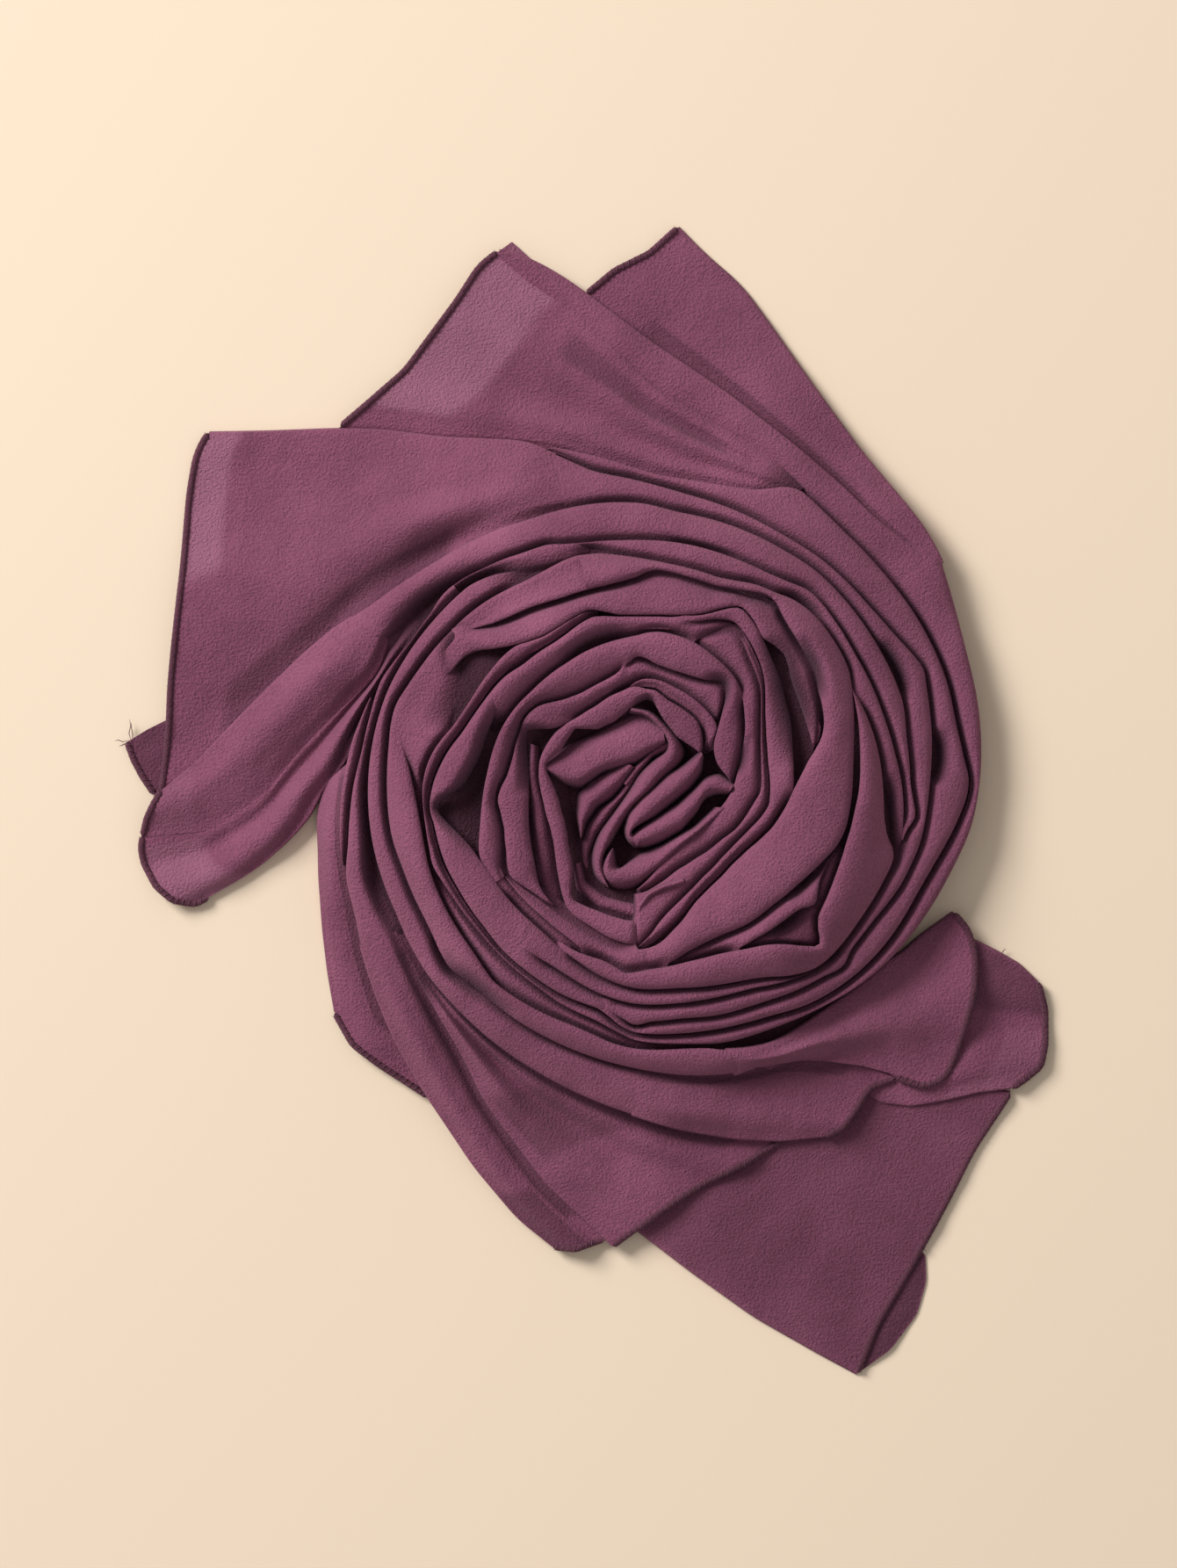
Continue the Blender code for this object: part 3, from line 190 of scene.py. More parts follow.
# The lines where one pleat's edge lies on the next. path: angle in degrees, radius in mm.
# step: how much higher the inner side stands than the outer one, mm (negative: the outer is on top).
# fade_low, fade_high: degrees over which the step dies away at the line's two ends.
# Stretches, ribbons and fans name these lines again, with the angle where they leave them.
LINES = {
    "S": dict(step=3.0, path=(
        (-260, 64.1), (-255, 65.8), (-250, 64.8), (-240, 63.6), (-235, 64.8), (-230, 66.6),
        (-225, 66.9), (-220, 66.7), (-210, 66.6), (-205, 67.2), (-200, 68.4), (-195, 71.0),
        (-190, 73.4), (-185, 74.9), (-180, 75.5), (-172, 75.4), (-165, 75.8), (-160, 76.5),
        (-155, 75.6), (-150, 74.8), (-140, 74.4), (-130, 75.4), (-120, 76.9), (-115, 78.0),
        (-110, 79.6), (-105, 80.9), (-100, 82.4), (-95, 85.2), (-90, 88.3), (-80, 91.0), (-70, 94.7),
        (-60, 97.2), (-50, 101.0), (-40, 105.6), (-32, 109.0), (-25, 111.6), (-15, 115.6),
        (-5, 120.6), (5, 123.6), (14, 125.8), (23, 128.0), (35, 134.7), (39, 138.4))),
    "A": dict(step=3.0, fade_high=14, path=(
        (-256, 63.3), (-250, 61.8), (-245, 60.4), (-240, 59.8), (-230, 59.8), (-220, 61.6),
        (-210, 62.5), (-200, 64.4), (-190, 68.7), (-180, 72.3), (-175, 73.2), (-170, 72.3),
        (-160, 72.2), (-150, 71.7), (-140, 71.9), (-130, 73.4), (-120, 74.7), (-110, 76.6),
        (-100, 78.1), (-97, 80.2), (-94, 83.1), (-90, 85.5), (-80, 87.2), (-70, 89.4), (-60, 92.5),
        (-50, 97.8), (-40, 101.6), (-30, 104.3), (-20, 106.5), (-15, 108.6), (-10, 111.7),
        (-5, 115.2), (0, 118.3), (2, 118.7), (6, 117.4), (12, 116.6), (20, 117.5), (30, 117.7),
        (40, 117.6), (50, 118.4), (55, 119.7), (60, 121.4), (66, 123.8))),
    "B": dict(step=2.4, fade_low=6, path=(
        (-98, 77.8), (-94, 80.2), (-90, 82.8), (-86, 81.7), (-80, 81.9), (-70, 84.4), (-60, 86.9),
        (-50, 91.2), (-45, 93.4), (-40, 96.2), (-36, 94.8), (-30, 95.6), (-25, 97.4), (-20, 99.6),
        (-15, 101.2), (-10, 102.7), (0, 104.2), (10, 106.9), (20, 110.0), (23, 111.2), (26, 110.0),
        (30, 108.0), (35, 106.5), (40, 105.8), (50, 105.6), (60, 105.0), (70, 105.8), (80, 107.0),
        (85, 108.5), (90, 110.6), (97, 114.4), (100, 118.0), (103, 122.6), (105, 125.5))),
    "C": dict(step=2.4, fade_low=14, path=(
        (-128, 69.6), (-122, 68.2), (-116, 68.5), (-110, 69.7), (-100, 72.8), (-90, 75.2),
        (-80, 76.3), (-70, 78.0), (-60, 80.8), (-55, 83.7), (-50, 86.9), (-45, 89.8), (-40, 91.0),
        (-30, 91.8), (-20, 93.8), (-15, 95.7), (-9, 96.7), (-5, 99.6), (-2, 98.6), (2, 97.5),
        (10, 97.8), (20, 100.0), (30, 100.1), (40, 100.5), (50, 101.0), (60, 100.3), (70, 100.2),
        (80, 100.1), (90, 102.4), (100, 103.2), (110, 103.6), (120, 105.6), (130, 108.0),
        (135, 109.8), (140, 112.3), (145, 115.3), (150, 120.1), (154, 124.2))),
    "D": dict(step=2.4, fade_low=6, path=(
        (-10, 95.9), (0, 94.6), (10, 92.5), (20, 91.6), (30, 91.6), (40, 92.8), (48, 94.0),
        (55, 91.3), (60, 90.1), (70, 89.4), (80, 89.2), (90, 88.9), (100, 89.6), (106, 91.0),
        (110, 92.8), (115, 93.4), (120, 94.7), (130, 97.2), (140, 100.1), (145, 102.0), (150, 104.2),
        (155, 107.4), (160, 111.8), (165, 118.0), (168, 122.6))),
    "K": dict(step=2.6, fade_low=12, fade_high=8, path=(
        (-118, 61.4), (-110, 63.3), (-100, 66.9), (-90, 69.7), (-80, 70.8), (-70, 73.4), (-60, 77.2),
        (-55, 80.3), (-50, 85.2), (-44, 89.6), (-40, 90.6), (-30, 91.5), (-20, 93.4), (-15, 94.4),
        (-13, 93.6), (-10, 90.4), (-5, 88.2), (0, 87.6), (10, 86.8), (20, 85.6), (25, 84.8))),
    "L": dict(step=-3.0, fade_low=10, path=(
        (-118, 59.4), (-110, 60.4), (-102, 60.8), (-97, 62.4), (-93, 64.3), (-85, 63.1), (-75, 62.9),
        (-65, 64.1), (-60, 65.6), (-55, 68.0), (-50, 71.0), (-46, 75.2), (-43, 80.2), (-40, 84.6),
        (-37, 80.6), (-34, 78.0), (-30, 77.3), (-20, 76.4), (-15, 76.4), (-10, 76.9), (-5, 77.6),
        (0, 78.7), (10, 80.4), (20, 83.0), (24, 84.2))),
    "Z": dict(step=2.4, path=(
        (-57, 65.6), (-50, 67.3), (-45, 68.5), (-40, 69.7), (-36, 71.2), (-32, 74.8), (-29, 73.4),
        (-25, 72.1), (-20, 72.5), (-16, 73.8))),
    "E": dict(step=2.4, fade_low=12, path=(
        (-84, 62.4), (-78, 61.2), (-70, 59.2), (-65, 58.8), (-60, 59.0), (-55, 60.0), (-50, 61.2),
        (-45, 62.0), (-40, 62.8), (-35, 64.3), (-30, 66.0), (-25, 68.2), (-20, 70.7), (-15, 73.6),
        (-10, 75.2), (-5, 75.8), (0, 76.4), (5, 77.0), (10, 78.1), (15, 79.8), (20, 82.0),
        (25, 84.4), (30, 86.8), (35, 87.8), (45, 88.7), (50, 87.9), (55, 85.8), (60, 84.4),
        (65, 82.2), (70, 80.9), (80, 81.1), (90, 82.6), (95, 84.2), (100, 87.2), (104, 88.7))),
    "X": dict(step=-3.0, fade_high=14, path=(
        (-147, 55.0), (-140, 52.2), (-130, 50.3), (-120, 50.2), (-110, 51.9), (-100, 55.0),
        (-95, 56.2), (-90, 56.6), (-85, 55.4), (-80, 53.1), (-70, 48.4), (-65, 45.8), (-60, 44.1),
        (-50, 42.8), (-40, 42.7), (-30, 44.1), (-20, 47.6), (-15, 49.8), (-10, 51.6), (-5, 53.5),
        (0, 55.4), (5, 58.2), (10, 61.8), (13, 64.9), (16, 68.0), (20, 70.6), (25, 72.4), (30, 73.9),
        (35, 75.9), (40, 77.3), (46, 78.9), (50, 80.7), (54, 83.2), (56, 83.4), (60, 81.4),
        (65, 79.1), (70, 77.8), (75, 77.8), (80, 78.3), (84, 78.6), (87, 77.6), (90, 75.6),
        (95, 74.0), (100, 73.3), (110, 73.0), (115, 73.7), (120, 74.8), (125, 75.8), (130, 77.6),
        (135, 81.2), (139, 83.8))),
    "J": dict(step=-3.0, fade_high=10, path=(
        (13, 64.4), (20, 64.6), (25, 65.1), (30, 65.9), (35, 67.2), (40, 70.0), (43, 71.2),
        (46, 71.0), (50, 70.2), (55, 72.9), (60, 74.8), (63, 73.0), (65, 71.0), (70, 66.5),
        (75, 64.3), (80, 63.0), (90, 62.1), (95, 62.4), (100, 64.2), (105, 66.0), (110, 65.1),
        (115, 64.1), (120, 63.9), (125, 65.0), (130, 67.2), (135, 71.0), (139, 75.2), (142, 77.0),
        (148, 78.0))),
    "T": dict(step=-2.4, fade_low=10, path=(
        (-194, 86.4), (-190, 83.5), (-185, 80.3), (-180, 78.4), (-175, 77.4), (-170, 77.0),
        (-165, 77.3), (-160, 77.9), (-150, 78.8), (-140, 80.0), (-135, 81.0), (-130, 82.8),
        (-126, 84.2), (-120, 84.6), (-110, 85.4), (-105, 86.0), (-100, 87.5), (-95, 89.8),
        (-90, 91.3), (-80, 92.8), (-75, 94.4), (-70, 97.8), (-65, 100.6), (-60, 102.3), (-53, 102.8),
        (-48, 103.6), (-40, 106.4), (-32, 109.4))),
    "M": dict(step=2.6, path=(
        (-265, 83.0), (-250, 83.3), (-240, 84.3), (-230, 85.8), (-220, 86.8), (-210, 88.0),
        (-205, 89.0), (-199, 90.4), (-195, 90.0), (-190, 89.0), (-180, 88.2), (-170, 88.0),
        (-160, 87.0), (-150, 87.3), (-145, 88.2), (-140, 90.0), (-136, 91.1), (-130, 90.3),
        (-120, 91.3), (-110, 93.0), (-100, 95.4), (-90, 98.5), (-80, 102.5), (-70, 106.5),
        (-60, 110.4))),
    "P": dict(step=2.4, fade_low=8, path=(
        (-243, 87.5), (-240, 89.8), (-235, 92.4), (-230, 93.8), (-220, 93.9), (-210, 94.4),
        (-200, 95.0), (-190, 95.0), (-170, 95.2), (-155, 95.4), (-145, 97.2), (-138, 98.7),
        (-130, 100.0), (-120, 102.5), (-110, 105.6), (-100, 110.0), (-90, 115.6), (-80, 123.4))),
    "N": dict(step=2.2, fade_low=8, path=(
        (-227, 97.6), (-220, 96.2), (-214, 96.0), (-208, 97.4), (-203, 98.6), (-195, 98.1),
        (-190, 98.2), (-180, 100.6), (-170, 103.8), (-163, 107.6), (-157, 109.0), (-150, 112.5),
        (-140, 118.7), (-132, 125.0))),
    "O": dict(step=2.0, fade_high=6, path=(
        (-203, 99.4), (-195, 101.0), (-190, 102.3), (-185, 103.3), (-180, 104.4), (-170, 106.7),
        (-163, 108.2))),
    "Q": dict(step=2.4, path=(
        (-172, 95.9), (-165, 97.5), (-160, 98.7), (-150, 99.2), (-143, 100.6), (-139, 102.0),
        (-133, 104.7), (-130, 106.6), (-127, 108.7), (-123, 112.5), (-120, 116.2), (-117, 121.0),
        (-114, 125.2))),
    # The lines of the inner turns.
    "VL": dict(step=-3.0, path=(
        (-213, 57.2), (-205, 56.4), (-195, 56.3), (-190, 57.2), (-185, 59.2), (-181, 62.0),
        (-178, 67.5), (-175, 70.8), (-173, 69.6), (-170, 67.2), (-167, 64.8), (-163, 62.4),
        (-160, 61.1), (-157, 60.4), (-150, 59.0), (-140, 59.0), (-130, 59.1), (-120, 60.2),
        (-117, 61.0))),
    "V": dict(step=3.0, path=(
        (0, 55.2), (5, 55.7), (10, 56.5), (15, 57.3), (20, 58.7), (25, 60.2), (30, 61.5), (35, 63.2),
        (40, 65.3), (45, 67.2), (50, 70.0), (55, 72.6), (60, 74.4), (63, 72.6), (65, 70.3),
        (70, 66.0), (75, 63.9), (80, 62.4), (90, 61.6), (95, 61.8), (100, 62.6), (104, 63.3))),
    "BB": dict(step=1.6, fade_high=8, path=(
        (-147, 55.4), (-140, 55.2), (-130, 55.3), (-120, 56.3), (-110, 58.2), (-104, 59.3))),
    "Y": dict(step=1.6, path=(
        (-148, 55.0), (-140, 52.2), (-130, 50.4), (-120, 50.3), (-110, 51.9), (-100, 54.4),
        (-95, 55.4), (-88, 55.6))),
    "G2": dict(step=-1.6, path=(
        (-90, 55.6), (-84, 50.8), (-80, 47.2), (-75, 44.3), (-70, 42.4), (-60, 39.8), (-50, 38.5),
        (-40, 38.4), (-30, 39.4), (-20, 41.9), (-10, 45.8), (-5, 47.3), (0, 47.4), (10, 47.6),
        (20, 49.2), (30, 52.8), (35, 55.8), (40, 59.3), (45, 62.4), (50, 65.0), (55, 67.4),
        (60, 69.0), (65, 67.0), (70, 63.8), (75, 61.6))),
    "G3": dict(step=-1.6, path=(
        (-90, 36.4), (-85, 35.8), (-75, 33.6), (-60, 31.5), (-50, 31.8), (-40, 33.1), (-30, 34.8),
        (-20, 38.0), (-10, 40.6), (-5, 42.2), (0, 44.0), (10, 45.0), (20, 46.9), (30, 50.9),
        (35, 53.9), (40, 57.2), (50, 61.9), (55, 65.0), (58, 66.2), (64, 61.6), (70, 57.4))),
    "CR": dict(step=-2.4, path=(
        (-90, 35.0), (-80, 30.6), (-70, 26.8), (-60, 25.2), (-50, 24.2), (-40, 24.2), (-30, 25.2),
        (-20, 27.6), (-10, 30.8), (0, 33.8), (10, 36.4), (20, 39.8), (30, 44.5), (40, 49.2),
        (44, 51.6))),
    "CC": dict(step=2.6, path=(
        (40, 49.2), (45, 52.0), (50, 53.4), (60, 55.0), (70, 56.5), (80, 56.9), (85, 56.3),
        (90, 54.9), (100, 53.5), (110, 52.4), (120, 51.4), (135, 51.1), (145, 51.8), (155, 52.4),
        (170, 52.8), (180, 53.9), (190, 55.8), (195, 57.3), (200, 59.2), (203, 60.0))),
    "DR": dict(step=-2.4, path=(
        (0, 33.2), (5, 33.6), (10, 32.3), (15, 30.9), (20, 30.3), (25, 30.6), (30, 31.8), (35, 34.4),
        (40, 38.8), (45, 44.2), (48, 47.2), (51, 48.6), (54, 48.0), (58, 46.3), (65, 45.0),
        (72, 44.6), (80, 45.2), (86, 47.0), (90, 47.9), (93, 45.6))),
    "DD": dict(step=2.0, fade_low=6, path=(
        (93, 45.6), (97, 43.2), (100, 41.9), (107, 40.5), (118, 39.7), (127, 40.9), (132, 42.6),
        (140, 46.0), (146, 46.9), (155, 46.1), (165, 45.2), (172, 45.7), (180, 48.2), (184, 49.0),
        (190, 48.4), (195, 48.4), (200, 49.4), (205, 50.6), (210, 52.6), (214, 53.6), (220, 52.2),
        (226, 50.9), (232, 50.2))),
    "F1": dict(step=2.0, path=(
        (34, 33.2), (38, 36.4), (42, 37.4), (50, 38.0), (60, 38.6), (70, 39.2), (80, 40.0),
        (85, 39.8), (90, 38.6), (93, 37.2), (97, 35.9), (105, 34.8), (118, 33.2), (125, 33.2),
        (132, 33.7), (136, 34.4))),
    "F3": dict(step=-3.0, path=(
        (132, 34.0), (140, 35.5), (144, 37.4), (148, 41.3), (151, 43.8), (155, 43.0), (160, 41.0),
        (165, 39.3), (172, 38.1), (180, 37.9), (190, 38.6), (200, 40.2), (210, 42.4), (215, 43.8),
        (220, 45.8), (226, 48.2), (232, 49.4))),
    "F2": dict(step=2.0, path=(
        (30, 26.9), (36, 29.2), (45, 32.1), (50, 33.0), (60, 33.4), (70, 34.0), (75, 35.2),
        (80, 36.3), (86, 36.3), (92, 35.6))),
    "H": dict(step=2.2, path=(
        (135, 34.3), (145, 35.3), (160, 35.8), (170, 35.0), (180, 33.7), (190, 32.9), (200, 32.9),
        (210, 34.0), (215, 35.3), (220, 37.2), (225, 39.5), (230, 42.2), (235, 45.3), (240, 48.2),
        (245, 49.5), (250, 50.2), (255, 51.4), (260, 52.8), (266, 54.0))),
    "I": dict(step=-3.0, path=(
        (33, 26.0), (42, 24.7), (52, 24.0), (60, 25.0), (68, 26.8), (72, 28.3), (76, 30.3),
        (80, 32.3), (83, 32.5), (86, 31.7), (90, 30.6), (95, 28.9), (100, 27.4), (110, 25.6),
        (120, 25.6), (130, 28.6), (135, 30.8), (140, 30.4), (150, 30.2), (155, 31.0), (160, 32.4),
        (164, 33.2), (168, 32.2), (172, 30.6), (176, 29.4), (180, 28.4), (190, 27.3), (200, 27.3),
        (210, 28.3), (220, 31.0), (225, 32.6), (230, 35.0), (235, 39.4), (238, 43.0), (241, 44.4),
        (250, 44.4), (260, 45.1), (266, 45.8))),
    "FL": dict(step=2.2, path=(
        (61, 122.6), (64, 119.6), (66, 117.2), (70, 114.5), (75, 112.9), (80, 112.3), (85, 112.6),
        (90, 115.0), (95, 118.7), (100, 122.8), (104, 126.4))),
}


def smooth_value(rows, at):
    """Value of a table (position, value) between its rows, on a smooth curve that never overshoots."""
    if at <= rows[0][0]:
        return rows[0][1]
    if at >= rows[-1][0]:
        return rows[-1][1]
    k = max(i for i in range(len(rows) - 1) if rows[i][0] <= at)

    def run(i):
        return (rows[i + 1][1] - rows[i][1]) / (rows[i + 1][0] - rows[i][0])

    def slope(i):
        if i == 0 or i == len(rows) - 1:
            return run(min(i, len(rows) - 2))
        before, after = run(i - 1), run(i)
        return 0.0 if before * after <= 0 else 2 * before * after / (before + after)

    span = rows[k + 1][0] - rows[k][0]
    t = (at - rows[k][0]) / span
    low, high = rows[k][1], rows[k + 1][1]
    return (low * (1 + 2 * t) * (1 - t) ** 2 + high * t * t * (3 - 2 * t)
            + slope(k) * span * t * (1 - t) ** 2 - slope(k + 1) * span * t * t * (1 - t))


def dome(radius):
    return smooth_value(DOME, radius)


def soft(t):
    t = min(1.0, max(0.0, t))
    return t * t * (3 - 2 * t)


def same_turn(name, angle):
    """The angle, or the same direction one turn off, where the line has a point."""
    path = LINES[name]["path"]
    for turn in (angle, angle - 360, angle + 360):
        if path[0][0] - 0.01 <= turn <= path[-1][0] + 0.01:
            return turn
    return None


def line_step(name, angle):
    line = LINES[name]
    share = 1.0
    if "fade_low" in line:
        share = min(share, soft((angle - line["path"][0][0]) / line["fade_low"]))
    if "fade_high" in line:
        share = min(share, soft((line["path"][-1][0] - angle) / line["fade_high"]))
    return line["step"] * share


def nearest_turn(name, angle):
    """The angle where the line has a point, or else the nearer end of the line."""
    there = same_turn(name, angle)
    if there is None:
        path = LINES[name]["path"]
        _, there = min((min(abs(angle + turns - end) for turns in (0, -360, 360)), end)
                       for end in (path[0][0], path[-1][0]))
    return there


HAND_OVER = 14                   # degrees over which one line takes over from another


def bound(chain, angle):
    """Radius and step of what bounds a stretch here: one line, or two while one hands over."""
    radius = step = 0.0
    for name, turn in zip(chain[::2], (None,) + chain[1::2]):
        share = 1.0 if turn is None else soft((angle - turn) / HAND_OVER + 0.5)
        if share:
            there = nearest_turn(name, angle)
            radius += share * (smooth_value(LINES[name]["path"], there) - radius)
            step += share * (line_step(name, there) - step)
    return radius, step


def near(angle, at):
    """Distance between two directions, degrees."""
    return abs((angle - at + 180) % 360 - 180)


def row_bounds(row, angle):
    """Outer radius and step, inner radius and step of a stretch, evened out with one that it meets."""
    own = bound(row["outer"], angle) + bound(row["inner"], angle)
    for other, at, reach in MEETS.get(row["name"], ()):
        share = 0.5 * (1 - soft(near(angle, at) / reach))
        if share:
            there = pleat_row(other)
            turned = at + (angle - at + 180) % 360 - 180
            both = bound(there["outer"], turned) + bound(there["inner"], turned)
            own = tuple((1 - share) * mine + share * yours for mine, yours in zip(own, both))
    return own


def pleat_row(name):
    return next(row for row in STRETCHES + RIBBONS if row["name"] == name)


def on_plan(radius, angle):
    a = math.radians(angle)
    return (COIL_CENTRE[0] + radius * math.cos(a), COIL_CENTRE[1] + radius * math.sin(a))


# The stretches, from the outside in. outer, inner: the lines that bound it, each with the angle at
# which the next one takes over. low, high: its first and last angle. swell: how far it bulges, mm.
STRETCHES = (
    dict(name="pleat_right_outer", outer=("S",), inner=("A",),
         low=-156, high=38, swell=0.8),
    dict(name="pleat_left_gutter", outer=("S",), inner=("A",),
         low=-252, high=-174, swell=-0.3),
    dict(name="pleat_top_second", outer=("A", 62, "FL"), inner=("B",),
         low=-97, high=103, swell=0.8),
    dict(name="pleat_lower_slip", outer=("A",), inner=("C",),
         low=-127, high=-98.5, swell=0.6),
    dict(name="pleat_top_third", outer=("B",), inner=("C",),
         low=-94, high=104, swell=0.8),
    dict(name="pleat_top_fourth", outer=("C",), inner=("D",),
         low=-8, high=146, swell=0.9),
    dict(name="pleat_lower_fourth", outer=("C",), inner=("VL", -117, "K"),
         low=-126.5, high=-52, swell=0.5),
    dict(name="pleat_top_fifth", outer=("D",), inner=("K", 25, "E"),
         low=-6, high=102, swell=0.5),
    dict(name="pleat_lower_fifth", outer=("K",), inner=("L",),
         low=-115, high=23, swell=1.0),
    dict(name="pleat_lower_slot", outer=("L",), inner=("Z",),
         low=-54, high=-18, swell=-0.5),
    dict(name="pleat_lower_sixth", outer=("L", -57, "Z"), inner=("E",),
         low=-80, high=-19, swell=0.4),
    dict(name="pleat_right_broad", outer=("E",), inner=("X",),
         low=-81, high=103, swell=1.6),
    dict(name="pleat_right_inner", outer=("X",), inner=("J",),
         low=18, high=129, swell=0.8),
    dict(name="pleat_left_outer", outer=("M",), inner=("X", -216, "S"),
         low=-256.5, high=-195, swell=-1.6),
    dict(name="pleat_left_lower", outer=("M",), inner=("T",),
         low=-193.5, high=-70, swell=0.9),
    dict(name="pleat_left_third", outer=("T",), inner=("S",),
         low=-167, high=-78, swell=0.6),
    dict(name="pleat_left_second", outer=("P",), inner=("M",),
         low=-240, high=-90, swell=0.7),
    dict(name="pleat_left_first", outer=("N",), inner=("P", -170, "Q"),
         low=-222, high=-150, swell=0.5),
    dict(name="pleat_left_rim", outer=("O",), inner=("N",),
         low=-197, high=-168, swell=0.2),
    dict(name="pleat_top_hollow", outer=("D",), inner=("M", 117, "P"),
         low=105, high=131, swell=-1.5),
)
# The ribbons of the inner turns are listed with them, because the outer pleats run on into them.
RIBBONS = (
    dict(name="ribbon_left", outer=("A",), inner=("VL",),
         low=-212, high=-128, swell=0.6),
    dict(name="ribbon_top", outer=("V", 104, "A"), inner=("CC",),
         low=76, high=146.5, swell=0.6),
    dict(name="ribbon_right_first", outer=("X", 0, "V"), inner=("G2",),
         low=-82, high=70, swell=0.5),
    dict(name="ribbon_right_second", outer=("G2",), inner=("G3", 69, "CC"),
         low=-82, high=72, swell=0.4),
    dict(name="ribbon_right_third", outer=("G3",), inner=("CR", 42, "CC"),
         low=-70, high=66, swell=0.4),
    dict(name="ribbon_second_turn", outer=("CR", 42, "CC"), inner=("DR", 93, "DD"),
         low=6, high=201, swell=0.8),
    dict(name="ribbon_lower_first", outer=("VL", -117, "L"), inner=("BB",),
         low=-146, high=-109, swell=0.2),
    dict(name="ribbon_lower_second", outer=("BB", -107, "L"), inner=("Y",),
         low=-144, high=-89, swell=0.4),
    dict(name="ribbon_third_turn", outer=("DR", 93, "DD"), inner=("F1", 134, "F3"),
         low=42, high=211, swell=0.4),
    dict(name="ribbon_fourth_turn", outer=("F1",), inner=("F2",),
         low=38, high=89, swell=0.2),
    dict(name="ribbon_fifth_turn", outer=("F2", 91, "F1", 135.5, "H"), inner=("I",),
         low=36, high=265, swell=0.4),
)
TUCK = 3.2                       # mm, how far a pleat goes on under its neighbour
LIP = 0.55                       # how high an edge stands above the dome, as a share of its step
GROOVE = 1.05                    # depth of the crease beside a lip, as a share of its step
GROOVE_REACH = 3.4               # mm, how far that crease reaches into the lower pleat
ROUNDING = 0.7                   # mm, how far a full pleat bulges on top of its own swell
FULL_WIDTH = 9.0                 # mm, how wide such a pleat is; a narrower one bulges less
LEAST_WIDTH = 0.5                # mm, where two lines run together
OVERRUN = 2.4                    # degrees, how far a stretch goes on under what covers its ends
SINK = 1.8                       # mm, how far it sinks there
SHADE = 0.75                     # how dark the painted shade is in the crease beside a higher pleat
SHADE_REACH = 2.6                # mm, how far that painted shade goes into the lower pleat
DARKEST = -0.95                  # the darkest painted shade that the layers_and_shade attribute holds
DARK_HOLLOW = 5                  # mm, how far down a hollow has to go for its painted shade to be darkest


def edge_points(radius, top, step, away, width):
    """Points from inside a band's edge outwards. away: +1 where the edge looks outwards, else -1."""
    if step * away >= 0:
        thick = 0.8 * abs(step) + 0.3
        roll = min(thick / 2, 0.3 * width)
        return [(radius - away * roll * 0.3, top - roll * 0.28), (radius, top - roll),
                (radius - away * roll * 0.35, top - thick * 0.85),
                (radius - away * min(2.6, 0.5 * width), top - thick),
                (radius - away * min(4.4, 0.8 * width), top - thick - 0.3)]
    return [(radius + away * TUCK * share, top - down)
            for share, down in ((0, 0), (0.2, 0.15), (0.45, 0.45), (0.7, 0.8), (1, 1.3))]


def waver(x, y):
    """The soft unevenness of cloth laid by hand, mm."""
    return (noise.noise(Vector((x / 19, y / 19, 7))) * 1.1 + noise.noise(Vector((x / 6, y / 6, 3))) * 0.3)


def band_height(row, angle, t):
    """Height of a pleat's top at a share t of the way from its outer edge to its inner one, mm."""
    outer, outer_step, inner, inner_step = row_bounds(row, angle)
    width = max(LEAST_WIDTH, outer - inner)
    top_out = dome(outer) + outer_step * LIP
    top_in = dome(inner) - inner_step * LIP
    ease = t * 0.5 + soft(t) * 0.5
    height = top_out + (top_in - top_out) * ease
    height += (ROUNDING + row["swell"]) * min(1.0, width / FULL_WIDTH) * math.sin(math.pi * t)
    if outer_step < 0:
        height += GROOVE * outer_step * (1 - soft(t * width / GROOVE_REACH))
    if inner_step > 0:
        height -= GROOVE * inner_step * (1 - soft((1 - t) * width / GROOVE_REACH))
    for parent, at, reach in PARTS.get(row["name"], ()):
        share = 1 - soft(near(angle, at) / reach)
        if share:
            there = pleat_row(parent)
            turned = at + (angle - at + 180) % 360 - 180
            far, _, close, _ = row_bounds(there, turned)
            place_in = (far - (outer - width * t)) / max(LEAST_WIDTH, far - close)
            height += share * (band_height(there, turned, min(1.0, max(0.0, place_in))) - height)
    return height


def band_section(row, angle, count):
    """Section of a pleat at one angle as (radius, height), from its outer edge to its inner one."""
    outer, outer_step, inner, inner_step = row_bounds(row, angle)
    width = max(LEAST_WIDTH, outer - inner)
    roll_out = min(0.4 * outer_step + 0.15, 0.3 * width) if outer_step >= 0 else 0.0
    roll_in = min(-0.4 * inner_step + 0.15, 0.3 * width) if inner_step <= 0 else 0.0
    points = edge_points(outer, band_height(row, angle, 0), outer_step, 1, width)[::-1]
    for k in range(1, count):
        t = k / count
        radius = outer - roll_out + (roll_in + roll_out - width) * t
        points.append((radius, band_height(row, angle, (outer - radius) / width)))
    points += edge_points(outer - width, band_height(row, angle, 1), inner_step, -1, width)
    return points


def pocket_depth(pockets, angle, radius, outer, inner):
    """How far hollows pull the cloth down here, mm."""
    down = 0.0
    for low, high, side, reach, depth in pockets:
        for turned in (angle, angle + 360, angle - 360):
            if low < turned < high:
                share = max(0.0, math.sin(math.pi * (turned - low) / (high - low))) ** 0.7
                off = radius - inner if side == "inner" else outer - radius
                down = max(down, depth * share * (1 - soft(off / reach)))
    return down


